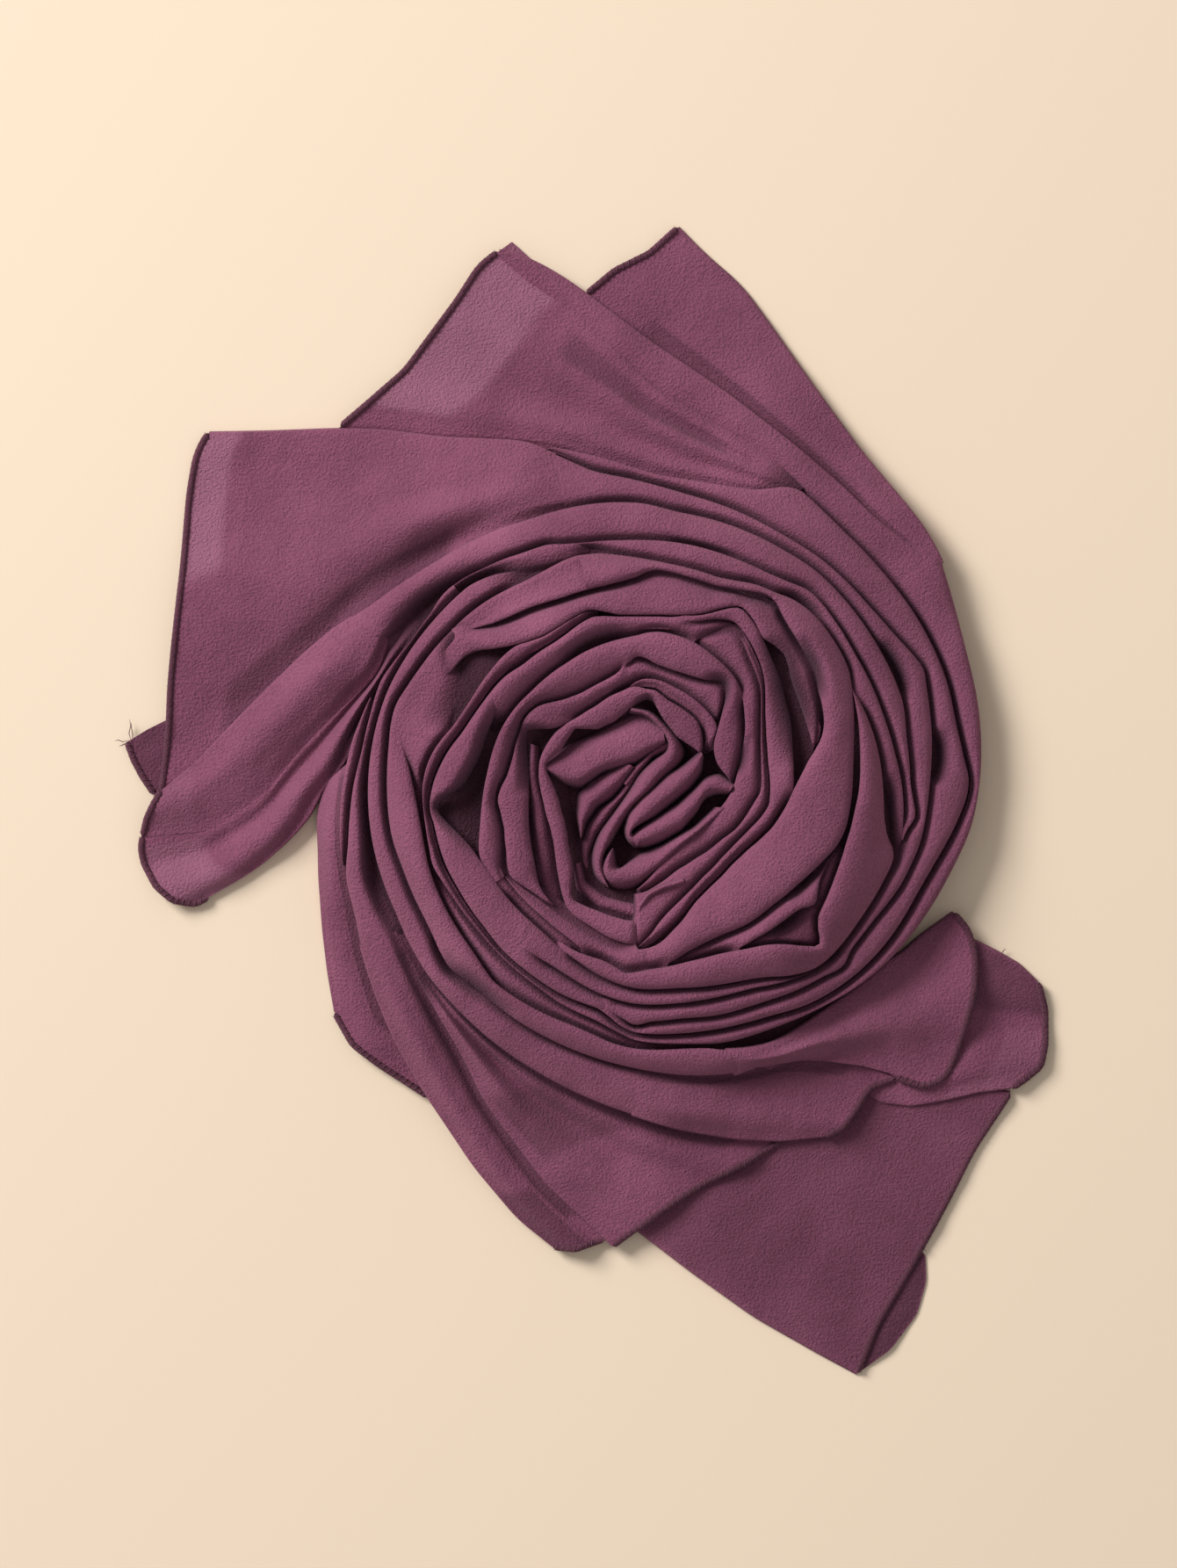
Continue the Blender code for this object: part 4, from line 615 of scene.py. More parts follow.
def wound_cloth(row, pockets=(), step=1.25, count=14):
    """One stretch of a pleat as a thin sheet through its sections."""
    plain = ((row["low"], OVERRUN, SINK), (row["high"], OVERRUN, SINK))
    (low, run_low, sink_low), (high, run_high, sink_high) = ENDS.get(row["name"], plain)
    steps = max(4, round((high + run_high - low + run_low) / step))
    points, layers_and_shade, length = [], [], 0.0
    for i in range(steps + 1):
        angle = low - run_low + (high + run_high - low + run_low) * i / steps
        outer, outer_step, inner, inner_step = row_bounds(row, angle)
        sunk = 0.0
        if angle < low and run_low:
            sunk = sink_low * soft((low - angle) / run_low)
        if angle > high and run_high:
            sunk = sink_high * soft((angle - high) / run_high)
        for radius, height in band_section(row, angle, count):
            x, y = on_plan(radius, angle)
            down = pocket_depth(pockets, angle, radius, outer, inner)
            points.append((x, y, max(0.25, height + waver(x, y) - sunk - down)))
            # Painted shade: darker in hollows, where an end sinks under its neighbour, and in the crease
            # beside a higher pleat.
            shade = max(down / DARK_HOLLOW, (sunk - 1.0) / 4)
            for higher, off in ((-outer_step, outer - radius), (inner_step, radius - inner)):
                if higher > 0:
                    shade = max(shade, SHADE * min(1.0, higher / 2) * (1 - soft(off / SHADE_REACH)))
            layers_and_shade.append(max(DARKEST, -shade))
        length += math.radians((high - low) / steps) * (outer + inner) / 2
    faces = grid_faces(steps + 1, len(points) // (steps + 1))
    piece = cloth_piece("cloth_" + row["name"], points, faces, layers_and_shade)
    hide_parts(row["name"])
    return piece


# The two ends of a stretch: the angle, how many degrees it runs on past it under its neighbour, and
# how far it sinks there, mm. A stretch that isn't listed ends at its own low and high.
ENDS = {
    "pleat_right_outer": ((-165, 0.4, 0.1), (38, 3, 0.8)),
    "pleat_left_gutter": ((-252, 6, 3.0), (-165, 0.4, 0.1)),
    "pleat_top_second": ((-98, 2.4, 1.8), (103, 3, 2.5)),
    "pleat_lower_slip": ((-127, 0.6, 0.3), (-98.5, 2.4, 1.8)),
    "pleat_top_third": ((-98, 1.5, 1.5), (104, 3, 0.8)),
    "pleat_top_fourth": ((-8, 2.4, 1.8), (150, 1.5, 1.6)),
    "pleat_lower_fourth": ((-127, 0.6, 0.3), (-40, 5, 2.0)),
    "pleat_top_fifth": ((-9, 5, 4.0), (103, 3, 2.5)),
    "pleat_lower_slot": ((-54, 2.4, 1.8), (-18, 5, 3.0)),
    "pleat_right_broad": ((-86, 0.4, 0.1), (103.25, 0.4, 0.1)),
    "pleat_right_inner": ((14, 2.4, 1.8), (136, 14, 3.4)),
    "pleat_left_outer": ((-256.75, 0.4, 0.1), (-194, 1.2, 0.6)),
    "pleat_left_lower": ((-194, 0.6, 0.3), (-70, 3, 0.8)),
    "pleat_left_third": ((-194, 0.6, 0.3), (-78, 3, 1.8)),
    "pleat_left_second": ((-234, 12, 6.5), (-90, 3, 0.8)),
    "pleat_left_first": ((-228, 0.4, 0.1), (-150, 3, 0.8)),
    "pleat_top_hollow": ((105, 4, 3.0), (132, 0.4, 0.1)),
    "ribbon_left": ((-214, 1.0, 0.4), (-127, 1.0, 0.5)),
    "ribbon_top": ((75, 1.0, 0.4), (146.5, 10, 6.0)),
    "ribbon_right_first": ((-90, 1.2, 4.0), (75, 0.6, 0.3)),
    "ribbon_right_second": ((-90, 1.2, 5.0), (75, 0.6, 0.3)),
    "ribbon_right_third": ((-88, 2.0, 5.0), (68, 3, 2.0)),
    "ribbon_second_turn": ((4, 3, 2.0), (212.5, 0.4, 0.1)),
    "ribbon_lower_first": ((-147.5, 0.4, 0.1), (-107, 3, 1.8)),
    "ribbon_lower_second": ((-146, 2.4, 1.8), (-86, 0.4, 0.1)),
    "ribbon_third_turn": ((36, 3, 2.0), (231, 3, 2.0)),
    "ribbon_fourth_turn": ((36, 8, 4.0), (92, 3, 2.0)),
    "ribbon_fifth_turn": ((33, 6, 4.0), (268, 3, 3.0)),
}
# Where two stretches carry each other on: the other one, the angle, and the degrees to even it over.
MEETS = {
    "pleat_right_broad": (("pleat_left_outer", -256.75, 16), ("ribbon_lower_second", -86, 12)),
    "pleat_left_outer": (("pleat_right_broad", 103.25, 16),),
    "ribbon_lower_second": (("pleat_right_broad", -86, 12),),
    "pleat_top_hollow": (("pleat_left_first", -228, 8),),
    "pleat_left_first": (("pleat_top_hollow", 132, 8),),
    "ribbon_second_turn": (("ribbon_lower_first", 212.5, 12),),
    "ribbon_lower_first": (("ribbon_second_turn", 212.5, 12),),
}
# Where a pleat splits: each part, the pleat that it comes from, the angle, and the degrees to even it
# over. A part starts at that pleat's own height.
PARTS = {
    "pleat_lower_slip": (("ribbon_left", -127, 12),),
    "pleat_lower_fourth": (("ribbon_left", -127, 12),),
    "pleat_top_second": (("pleat_lower_slip", -98, 10),),
    "pleat_top_third": (("pleat_lower_slip", -98, 10),),
    "pleat_left_lower": (("pleat_left_outer", -194, 14),),
    "pleat_left_third": (("pleat_left_outer", -194, 14),),
    "pleat_left_second": (("pleat_top_hollow", 117, 10),),
    "pleat_right_inner": (("pleat_left_outer", -219, 8),),
    "ribbon_left": (("ribbon_top", 146, 12),),
    "ribbon_right_first": (("ribbon_top", 75, 10),),
    "ribbon_right_second": (("ribbon_top", 75, 10),),
}
# Hollows: low and high angle, the side they lie at, their reach and depth in mm.
POCKETS = {
    "pleat_top_second": ((1, 12, "inner", 9.5, 6.5), (-92, -88, "inner", 2.0, 2.5)),
    "pleat_top_third": ((19, 32, "inner", 8.0, 6.5), (-42, -37, "inner", 2.5, 2.5)),
    "pleat_top_fourth": ((66, 82, "inner", 2.4, 3.0), (124, 148, "inner", 8.0, 4.5)),
    "pleat_top_fifth": ((-14, 4, "inner", 8.0, 6.5), (42, 54, "inner", 4.5, 4.0)),
    "pleat_lower_slot": ((-48, -34, "inner", 8.0, 4.5),),
    "pleat_lower_sixth": ((-36, -17, "inner", 6.0, 4.5),),
    "pleat_top_hollow": ((96, 150, "inner", 7.0, 4.5),),
    "pleat_left_outer": ((-225, -197, "inner", 14.0, 6.0),),
    "pleat_left_lower": ((-140, -118, "outer", 6.0, 4.0),),
    "pleat_left_second": ((-144, -126, "inner", 5.0, 3.5),),
    "pleat_left_third": ((-84, -36, "outer", 6.0, 4.0),),
    "pleat_left_first": ((-192, -150.5, "inner", 5.0, 4.0),),
    "pleat_right_broad": ((26, 43, "inner", 6.0, 6.0),),
    "pleat_right_inner": ((53, 63, "outer", 7.0, 4.0), (15, 50, "inner", 9.0, 5.0)),
}

for stretch in STRETCHES:
    wound_cloth(stretch, POCKETS.get(stretch["name"], ()))

# The turn below.
# Between the pleats the next layer down shows. It is the same crepe, one broad sheet here, in the
# darker copy of its colour that is painted shade for the gaps.
PIT = 24                         # mm, radius where it starts round the heart
LOW_REACH = 112.0                # mm, the radius that it goes out to at most
LOW_DEPTH = 7.5                  # mm under the coil's top


def low_turn(steps=144, across=22):
    points = []
    for i in range(steps):
        angle = 360 * i / steps
        radii = [smooth_value(LINES[name]["path"], same_turn(name, angle)) for name in LINES
                 if same_turn(name, angle) is not None]
        reach = min(LOW_REACH, max(radii) - 0.6)
        for j in range(across + 1):
            radius = PIT + (reach - PIT) * j / across
            x, y = on_plan(radius, angle)
            points.append((x, y, max(0.8, dome(radius) - LOW_DEPTH + 2 * waver(x, y))))
    made = cloth_piece("cloth_low_turn", points, grid_faces(steps, across + 1, closed=True))
    finish_with(made, SHADED)


low_turn()

# The inner turns.
# The last turns of the rope stand closer and steeper, as narrow ribbons of the same crepe with dark
# gaps between.
RIBBON_POCKETS = {
    "ribbon_left": ((146, 204, "inner", 5.0, 4.0),),
    "ribbon_top": ((92, 121, "inner", 7.0, 5.0),),
    "ribbon_right_first": ((8, 52, "outer", 9.0, 4.5),),
    "ribbon_right_second": ((53, 69, "inner", 6.0, 4.5),),
    "ribbon_right_third": ((8, 27, "inner", 5.0, 4.0),),
    "ribbon_second_turn": ((42, 59, "inner", 5.0, 4.5),),
    "ribbon_third_turn": ((90, 105, "inner", 4.0, 3.5), (143, 182, "inner", 6.0, 4.5)),
    "ribbon_fifth_turn": ((76, 92, "inner", 3.0, 3.5),),
}
for ribbon in RIBBONS:
    wound_cloth(ribbon, RIBBON_POCKETS.get(ribbon["name"], ()), step=1.6, count=10)

# The heart.
# The end of the rope stands on edge in the middle, rolled by hand: a hook, a hairpin in it, a tongue
# of cloth and smaller folds beside them.
GRID = 0.3125                    # mm, the layout grid's step, x to the right and y down the picture
GRID_ZERO = (668.23, 910.82)     # the grid point above the frame's origin


def place(point):
    """Plan position in mm of a grid point, or of a fold line's name with an angle."""
    if isinstance(point[0], str):
        return on_plan(smooth_value(LINES[point[0]]["path"], point[1]), point[1])
    return ((point[0] - GRID_ZERO[0]) * GRID, (GRID_ZERO[1] - point[1]) * GRID)


def side_points(side):
    """Plan positions along a side. Between two points on one fold line it follows that line."""
    points = []
    for point, following in zip(side, side[1:]):
        points.append(place(point))
        if isinstance(point[0], str) and point[0] == following[0]:
            count = max(1, round(abs(following[1] - point[1]) / 2))
            points += [place((point[0], point[1] + (following[1] - point[1]) * k / count))
                       for k in range(1, count)]
    return points + [place(side[-1])]


def along(points, share):
    """Position at a share of the length of a run of points."""
    lengths = [math.dist(points[i], points[i + 1]) for i in range(len(points) - 1)]
    left = share * sum(lengths)
    for i, length in enumerate(lengths):
        if left <= length or i == len(lengths) - 1:
            t = min(1.0, left / length) if length else 0.0
            return tuple(points[i][k] + (points[i + 1][k] - points[i][k]) * t for k in (0, 1))
        left -= length


def eased(points, share, ease=0.035):
    """The same on a curve that rounds the corners between the points."""
    reach = min(ease, share, 1 - share)
    spots = [along(points, share + reach * k) for k in (-1, -0.5, 0, 0.5, 1)]
    return tuple(sum(spot[k] for spot in spots) / 5 for k in (0, 1))


def rolled_fold(name, left, right, foot, top, crest=0.5, steps=70, across=12, stands_for=None):
    """A fold of cloth between two edges. foot, top: heights of its edges and of its crest, each at its
    start and at its end, mm. crest: where between the edges it is highest.
    """
    left, right = side_points(left), side_points(right)
    section = [(-0.04, 4.5), (0, 2.0)]
    section += [(j / across, 0) for j in range(across + 1)]
    section += [(1, 2.0), (1.04, 4.5)]
    points, layers_and_shade, length = [], [], 0.0
    for i in range(steps + 1):
        u = i / steps
        start, end = eased(left, u, 0.03), eased(right, u, 0.03)
        low = foot[0] + (foot[1] - foot[0]) * u
        high = top[0] + (top[1] - top[0]) * u
        width = math.dist(start, end) or 0.1
        lift = noise.noise(Vector((start[0] / 9, start[1] / 9, 4))) * 0.7
        for v, down in section:
            inside = min(1.0, max(0.0, v))
            off = (inside - crest) / (crest if inside < crest else 1 - crest)
            z = low + (high - low) * (1 - abs(off) ** 2.3) + lift - down
            points.append((start[0] + (end[0] - start[0]) * v, start[1] + (end[1] - start[1]) * v, z))
            edge = min(inside, 1 - inside) * width
            # Painted shade: darker within 1.3 mm of either edge, and more on the rows that turn under.
            layers_and_shade.append(-0.8 * (1 - soft(edge / 1.3)) - (0.15 if down else 0))
        if i:
            length += math.dist(start, before)
        before = start
    faces = grid_faces(steps + 1, len(points) // (steps + 1))
    piece = cloth_piece("cloth_" + name, points, faces, [max(DARKEST, tone) for tone in layers_and_shade])
    if stands_for:
        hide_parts(stands_for)
    return piece


rolled_fold(
    "heart_tongue", stands_for="heart_tongue", foot=(21, 20), top=(28.5, 27.5), crest=0.74,
    left=((618, 868), (632, 858), (650, 846), (680, 834), (700, 822), (718, 812), (736, 808),
          (752, 822)),
    right=((620, 876), (632, 885), (645, 894), (660, 897), (673, 889), (687, 879), (722, 871),
           (758, 848)))
rolled_fold(
    "heart_fold_small", foot=(20, 19), top=(24.5, 24), crest=0.5,
    left=((770, 838), (750, 845), (738, 856), (720, 873), (708, 890)),
    right=((774, 850), (757, 857), (744, 862), (730, 878), (716, 896)))
rolled_fold(
    "heart_fold_left", foot=(19, 17), top=(25.5, 24), crest=0.55,
    left=((712, 868), (690, 878), (670, 890), (658, 903), (655, 928), (660, 952)),
    right=((724, 874), (712, 892), (697, 908), (681, 918), (668, 936), (663, 954)))
rolled_fold(
    "heart_fold_deep", foot=(17, 15), top=(23.5, 20), crest=0.5,
    left=((724, 872), (712, 892), (697, 910), (680, 922), (667, 940), (659, 962), (659, 1000)),
    right=((744, 860), (730, 878), (720, 898), (700, 926), (682, 950), (673, 974), (678, 1008)))
rolled_fold(
    "heart_band_left", foot=(22, 20), top=(27.5, 26), crest=0.35,
    left=((603, 846), (600, 880), (603, 920), (607, 960), (611, 1000), (622, 1030)),
    right=((614, 850), (617, 890), (626, 925), (633, 965), (639, 1005), (649, 1034)))
rolled_fold(
    "heart_fold_floor", foot=(20, 21), top=(25, 26), crest=0.5,
    left=((662, 980), (668, 1002), (690, 1018), (728, 1028)),
    right=((652, 985), (655, 1014), (682, 1036), (730, 1050)))
rolled_fold(
    "heart_hook", stands_for="heart_hook", foot=(23, 22), top=(28.5, 28), crest=0.5, steps=110,
    left=((716, 812), (735, 815), (748, 828), (758, 842), (761, 855), (745, 864), (728, 880),
          (718, 898), (700, 924), (682, 948), (674, 970), (674, 990), (681, 1004), (694, 1011)),
    right=((720, 804), (742, 809), (758, 824), (770, 837), (779, 849), (780, 861), (770, 873),
           (757, 883), (743, 898), (724, 914), (708, 938), (697, 957), (686, 976), (690, 1004)))
rolled_fold(
    "heart_hook_foot", foot=(22, 24), top=(28.5, 30), crest=0.42, steps=90,
    left=((697, 965), (688, 975), (682, 991), (689, 1007), (709, 1013), (728, 1008), (746, 993),
          (771, 968), (800, 945), (830, 920)),
    right=((699, 965), (701, 976), (702, 986), (705, 988), (709, 986), (716, 980), (732, 970),
           (752, 962), (790, 940), (812, 918)))
rolled_fold(
    "heart_hairpin", stands_for="heart_hairpin", foot=(24, 24), top=(30.5, 29.5), crest=0.5, steps=90,
    left=((797, 855), (776, 872), (760, 881), (743, 897), (727, 909), (714, 926), (710, 946),
          (714, 958), (724, 965)),
    right=((801, 862), (799, 880), (786, 897), (766, 913), (746, 929), (726, 940), (718, 946),
           (720, 950), (730, 950)))
rolled_fold(
    "heart_hairpin_back", foot=(23, 26), top=(29.5, 31), crest=0.45, steps=70,
    left=((718, 950), (726, 943), (746, 931), (771, 915), (791, 897), (803, 884), (818, 880),
          (836, 892)),
    right=((720, 964), (735, 964), (751, 959), (776, 945), (793, 925), (802, 909), (814, 904),
           (828, 904)))
rolled_fold(
    "heart_end_fold", foot=(24, 25), top=(32, 31), crest=0.45, steps=50,
    left=((776, 996), (752, 1004), (734, 1014), (724, 1028), (719, 1048), (716, 1080)),
    right=((780, 1008), (757, 1014), (742, 1021), (733, 1034), (728, 1052), (724, 1080)))

# The upper left end of the scarf.
# The pleats of the crepe open into a fan of broad folds that lie on the floor, with a single, lighter
# layer at the hemmed short edge.


def patch(value, low, high, ease):
    """1 between low and high, easing to 0 outside."""
    return soft((value - low) / ease + 0.5) * soft((high - value) / ease + 0.5)


def edge_drop(edge, z):
    """What a fan's side does past its rim, as (outwards, height) in mm."""
    if edge == "fold":
        return (0.35, z - 0.35), (0.55, z - 0.9), (0.35, z - 1.5), (-1.0, z - 2.0), (-3.5, z - 2.5)
    if edge == "tuck":
        return (0.7, z - 0.5), (1.8, z - 1.3), (3.5, z - 2.0), (6.5, z - 2.9)
    if edge == "drop":
        return (0.4, z - 0.4), (0.7, z - 1.1), (0.9, z * 0.55), (0.9, 0.3)
    return ()


def fanned_cloth(row, edges, joins=None, folds=(), sheer_and_shade=(), hem=True, back=2.5, emerge=None,
                 hem_lip=1.0, stands_for=True, steps=64, across=44):
    """A fan of cloth between four sides, u from the coil to the hem and v from side a to side b.

    edges: what sides a and b do: "fold" rolls under, "tuck" goes on under the neighbour, "drop" goes
    down to the floor. joins: the pleat that it carries on, and from and to which share of its width.
    folds: v at the coil, v at the hem, height mm, half width as a share, u where it has grown.
    sheer_and_shade: u and v from and to, and how much lighter a single layer is there; below 0, how dark
    the painted shade is there. emerge: how far down it starts, mm, and the u by which it has come up,
    with painted shade that fades as it comes up. hem_lip: how much of side b's rolled lip is left at the
    hem. back: how far it goes on under the coil, mm.
    """
    side_a, side_b = side_points(row["a"]), side_points(row["b"])
    start = side_points(row.get("start", (row["a"][0], row["b"][0])))
    end = side_points(row["end"])
    a_start, b_start, a_end, b_end = row["heights"]
    grid, tones = [], []
    for i in range(steps + 1):
        u = i / steps
        a, b = eased(side_a, u), eased(side_b, u)
        line, tone = [], []
        for j in range(across + 1):
            v = j / across
            s, e = eased(start, v), eased(end, v)
            at = []
            for k in (0, 1):
                rim = (1 - v) * a[k] + v * b[k] + (1 - u) * s[k] + u * e[k]
                at.append(rim - (1 - u) * ((1 - v) * side_a[0][k] + v * side_b[0][k])
                          - u * ((1 - v) * side_a[-1][k] + v * side_b[-1][k]))
            first = a_start + (b_start - a_start) * v
            if joins:
                pleat, angle, from_t, to_t = joins
                first = band_height(pleat_row(pleat), angle, from_t + (to_t - from_t) * v)
            fall = (1 - (1 - u) ** 1.6) * (0.25 + 0.75 * soft(u / 0.3))
            last = a_end + (b_end - a_end) * v
            z = first + (last - first) * fall
            z += row["swell"] * math.sin(math.pi * v) * (1 - 0.5 * u) * soft(u / 0.3)
            for v_coil, v_hem, height, width, grown in folds:
                middle = v_coil + (v_hem - v_coil) * u
                z += height * math.exp(-((v - middle) / width) ** 2) * soft(u / grown) * (1 - 0.55 * u)
            hidden_here = 0.0
            if emerge:
                hidden_here = 1 - soft(u / emerge[1])
                z -= emerge[0] * hidden_here
            line.append((at[0], at[1], max(0.7, z + waver(*at))))
            # Lighter where a single layer lies; painted shade where a patch's level is below 0 and where
            # the fan still comes up from under the coil.
            light = sum(level * patch(u, u0, u1, 0.03) * patch(v, v0, v1, 0.05)
                        for u0, u1, v0, v1, level in sheer_and_shade)
            tone.append(light - 0.8 * hidden_here)
        grid.append(line)
        tones.append(tone)
    behind = []
    for (x, y, z), (x2, y2, _) in zip(grid[0], grid[1]):
        run = math.hypot(x2 - x, y2 - y) or 1.0
        behind.append((x - (x2 - x) / run * back, y - (y2 - y) / run * back, max(0.5, z - 0.12 * back)))
    grid.insert(0, behind)
    tones.insert(0, tones[0])
    points, layers_and_shade = [], []
    for i, (line, tone) in enumerate(zip(grid, tones)):
        left_over = 1 - (1 - hem_lip) * soft((i / steps - 0.3) / 0.4)
        section, shades = list(line), list(tone)
        for edge, outer, inwards, keep in ((edges[0], 0, 2, 1.0), (edges[1], -1, -3, left_over)):
            x, y, z = line[outer]
            dx, dy = x - line[inwards][0], y - line[inwards][1]
            size = math.hypot(dx, dy) or 1.0
            dx, dy = dx / size, dy / size
            more = [(x + dx * out, y + dy * out, max(0.3, z + (height - z) * keep))
                    for out, height in edge_drop(edge, z)]
            if outer == 0:
                section = more[::-1] + section
                shades = [tone[0]] * len(more) + shades
            else:
                section += more
                shades += [tone[-1]] * len(more)
        points += section
        layers_and_shade += shades
    faces = grid_faces(steps + 2, len(points) // (steps + 2))
    piece = cloth_piece("cloth_" + row["name"], points, faces, layers_and_shade)
    if stands_for:
        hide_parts(row["name"])
    size = math.dist(side_a[0], side_a[-1]) + math.dist(side_b[0], side_b[-1])
    hems = rolled_hem(row["name"], grid[-1]) if hem else []
    return piece


# The fans from the left round to the top. heights: mm at the coil at sides a and b, and at the hem at
# sides a and b. swell: how far the fan bulges, mm.
UPPER_FANS = (
    dict(name="fan_left_corner", heights=(1.8, 1.8, 1.6, 1.6), swell=0.0,
         a=((187, 819), (165, 830), (142, 844)), b=((179, 899), (173, 904)),
         end=((142, 844), (149, 864), (159, 883), (173, 904))),
    dict(name="fan_left_upper", heights=(11.6, 17.2, 2.2, 4.6), swell=1.2,
         a=(("B", 104.2), (600, 503), (560, 500), (500, 497), (430, 488), (380, 487), (300, 490),
            (235, 491)),
         b=(("C", 104.2), ("C", 120), ("C", 135), ("C", 148), (370, 740), (310, 800), (262, 850),
            (182, 900)),
         end=((235, 491), (222, 510), (213, 560), (207, 640), (198, 720), (192, 780), (190, 830),
              (182, 900))),
    dict(name="fan_left_ridge", heights=(13.6, 19.6, 5.2, 3.5), swell=1.4,
         a=(("C", 149.5), (378, 717), (345, 745), (305, 783), (262, 826), (222, 868), (182, 900)),
         b=(("D", 148.3), (430, 765), (390, 805), (340, 855), (300, 905), (235, 945), (160, 952)),
         end=((182, 900), (173, 915), (165, 932), (160, 952))),
    dict(name="fan_left_lower", heights=(17.6, 19.0, 3.4, 2.4), swell=0.8,
         a=(("D", 139), ("D", 148), (430, 765), (390, 805), (340, 855), (300, 905), (235, 945),
            (160, 952)),
         b=(("N", -221), ("N", -212), ("N", -205), ("O", -200), ("O", -192), ("O", -186),
            (367, 896), (355, 925), (330, 955), (290, 990), (235, 1022)),
         end=((160, 952), (158, 966), (161, 983), (175, 1009), (195, 1026), (220, 1030),
              (235, 1022))),
    dict(name="fan_top_edge", heights=(10.6, 13.4, 5.0, 4.6), swell=0.8,
         a=((1051, 634), (1031, 616), (1000, 594), (962, 555), (904, 505), (828, 446), (740, 387),
            (690, 349), (640, 312), (600, 290), (578, 282)),
         b=(("A", 38.4), ("A", 50), ("A", 60), (878, 528), (813, 486), (751, 448), (694, 391),
            (650, 350), (600, 315), (566, 284)),
         end=((578, 282), (572, 281), (566, 284))),
    dict(name="fan_top_face", heights=(11.4, 11.0, 4.2, 3.2), swell=1.0,
         a=((907, 551), (878, 528), (813, 486), (751, 448), (694, 391), (650, 350), (600, 315),
            (566, 284)),
         b=((896, 559), ("FL", 65), ("FL", 70), ("FL", 80), ("FL", 90), ("FL", 97), (656, 510),
            (622, 500), (560, 496), (500, 493), (430, 485), (387, 483)),
         end=((566, 284), (545, 300), (520, 340), (490, 380), (460, 420), (420, 455), (387, 483))),
    dict(name="fan_top_back", heights=(8.0, 8.6, 1.8, 2.4), swell=0.6,
         a=((1070, 632), (1059, 610), (1042, 586), (981, 513), (927, 439), (874, 364), (843, 322),
            (800, 285), (772, 256)),
         b=((1056, 632), (1031, 616), (1000, 594), (962, 555), (904, 505), (828, 446), (740, 387),
            (690, 349), (668, 331)),
         end=((772, 256), (740, 285), (700, 305), (668, 331))),
)
# The short edge is rolled and overlocked: the same crepe, packed under its stitches, looks darker.
HEM = 1.15                       # mm, half the width of the rolled hem
FLATNESS = 0.8                   # the hem's height as a share of its width
STITCH = 2.3                     # mm between two stitches
STRAND = 0.17                    # mm, radius of a stitch's thread
ROLLED = crepe_again("rolled_hem", (0.075, 0.018, 0.036), (0.15, 0.042, 0.075))


def hem_thread():
    """Twisted polyester thread of the cloth's colour, a little glossier than the crepe."""
    made = bpy.data.materials.new("hem_thread")
    made.use_nodes = True
    nodes, links = made.node_tree.nodes, made.node_tree.links
    shader = nodes["Principled BSDF"]
    shader.inputs["Roughness"].default_value = 0.55
    place = nodes.new("ShaderNodeTexCoord")
    twist = grain(nodes, 2600)
    tone = tones(nodes, 0.35, (0.06, 0.013, 0.028), 0.65, (0.16, 0.05, 0.085))
    turns = relief(nodes, 0.5, 0.0002)
    links.new(place.outputs["Object"], twist.inputs["Vector"])
    links.new(twist.outputs["Fac"], tone.inputs["Fac"])
    links.new(tone.outputs["Color"], shader.inputs["Base Color"])
    links.new(twist.outputs["Fac"], turns.inputs["Height"])
    links.new(turns.outputs["Normal"], shader.inputs["Normal"])
    return made


THREAD = hem_thread()


def tube(path, radius, sides, flat=1.0):
    """Points and faces of a round tube along a path, narrowed at both ends."""
    points, faces = [], []
    for i, spot in enumerate(path):
        ahead = Vector(path[min(i + 1, len(path) - 1)]) - Vector(path[max(i - 1, 0)])
        ahead.normalize()
        side = ahead.cross(Vector((0, 0, 1)))
        side = side.normalized() if side.length > 1e-4 else Vector((1, 0, 0))
        up = side.cross(ahead)
        size = radius * (0.35 if i in (0, len(path) - 1) else 1.0)
        for k in range(sides):
            a = 2 * math.pi * k / sides
            points.append(tuple(Vector(spot) + side * math.cos(a) * size + up * math.sin(a) * size * flat))
    for i in range(len(path) - 1):
        for k in range(sides):
            m = (k + 1) % sides
            faces.append((i * sides + k, i * sides + m, (i + 1) * sides + m, (i + 1) * sides + k))
    faces.append(tuple(range(sides)))
    faces.append(tuple((len(path) - 1) * sides + k for k in reversed(range(sides))))
    return points, faces


def threads(name, paths, radius):
    """Lengths of the hem's thread along their paths, as one piece."""
    points, faces = [], []
    for path in paths:
        more, shapes = tube(path, radius, 5)
        faces += [tuple(len(points) + k for k in face) for face in shapes]
        points += more
    made = cloth_piece(name, points, faces)
    finish_with(made, THREAD)
    return made


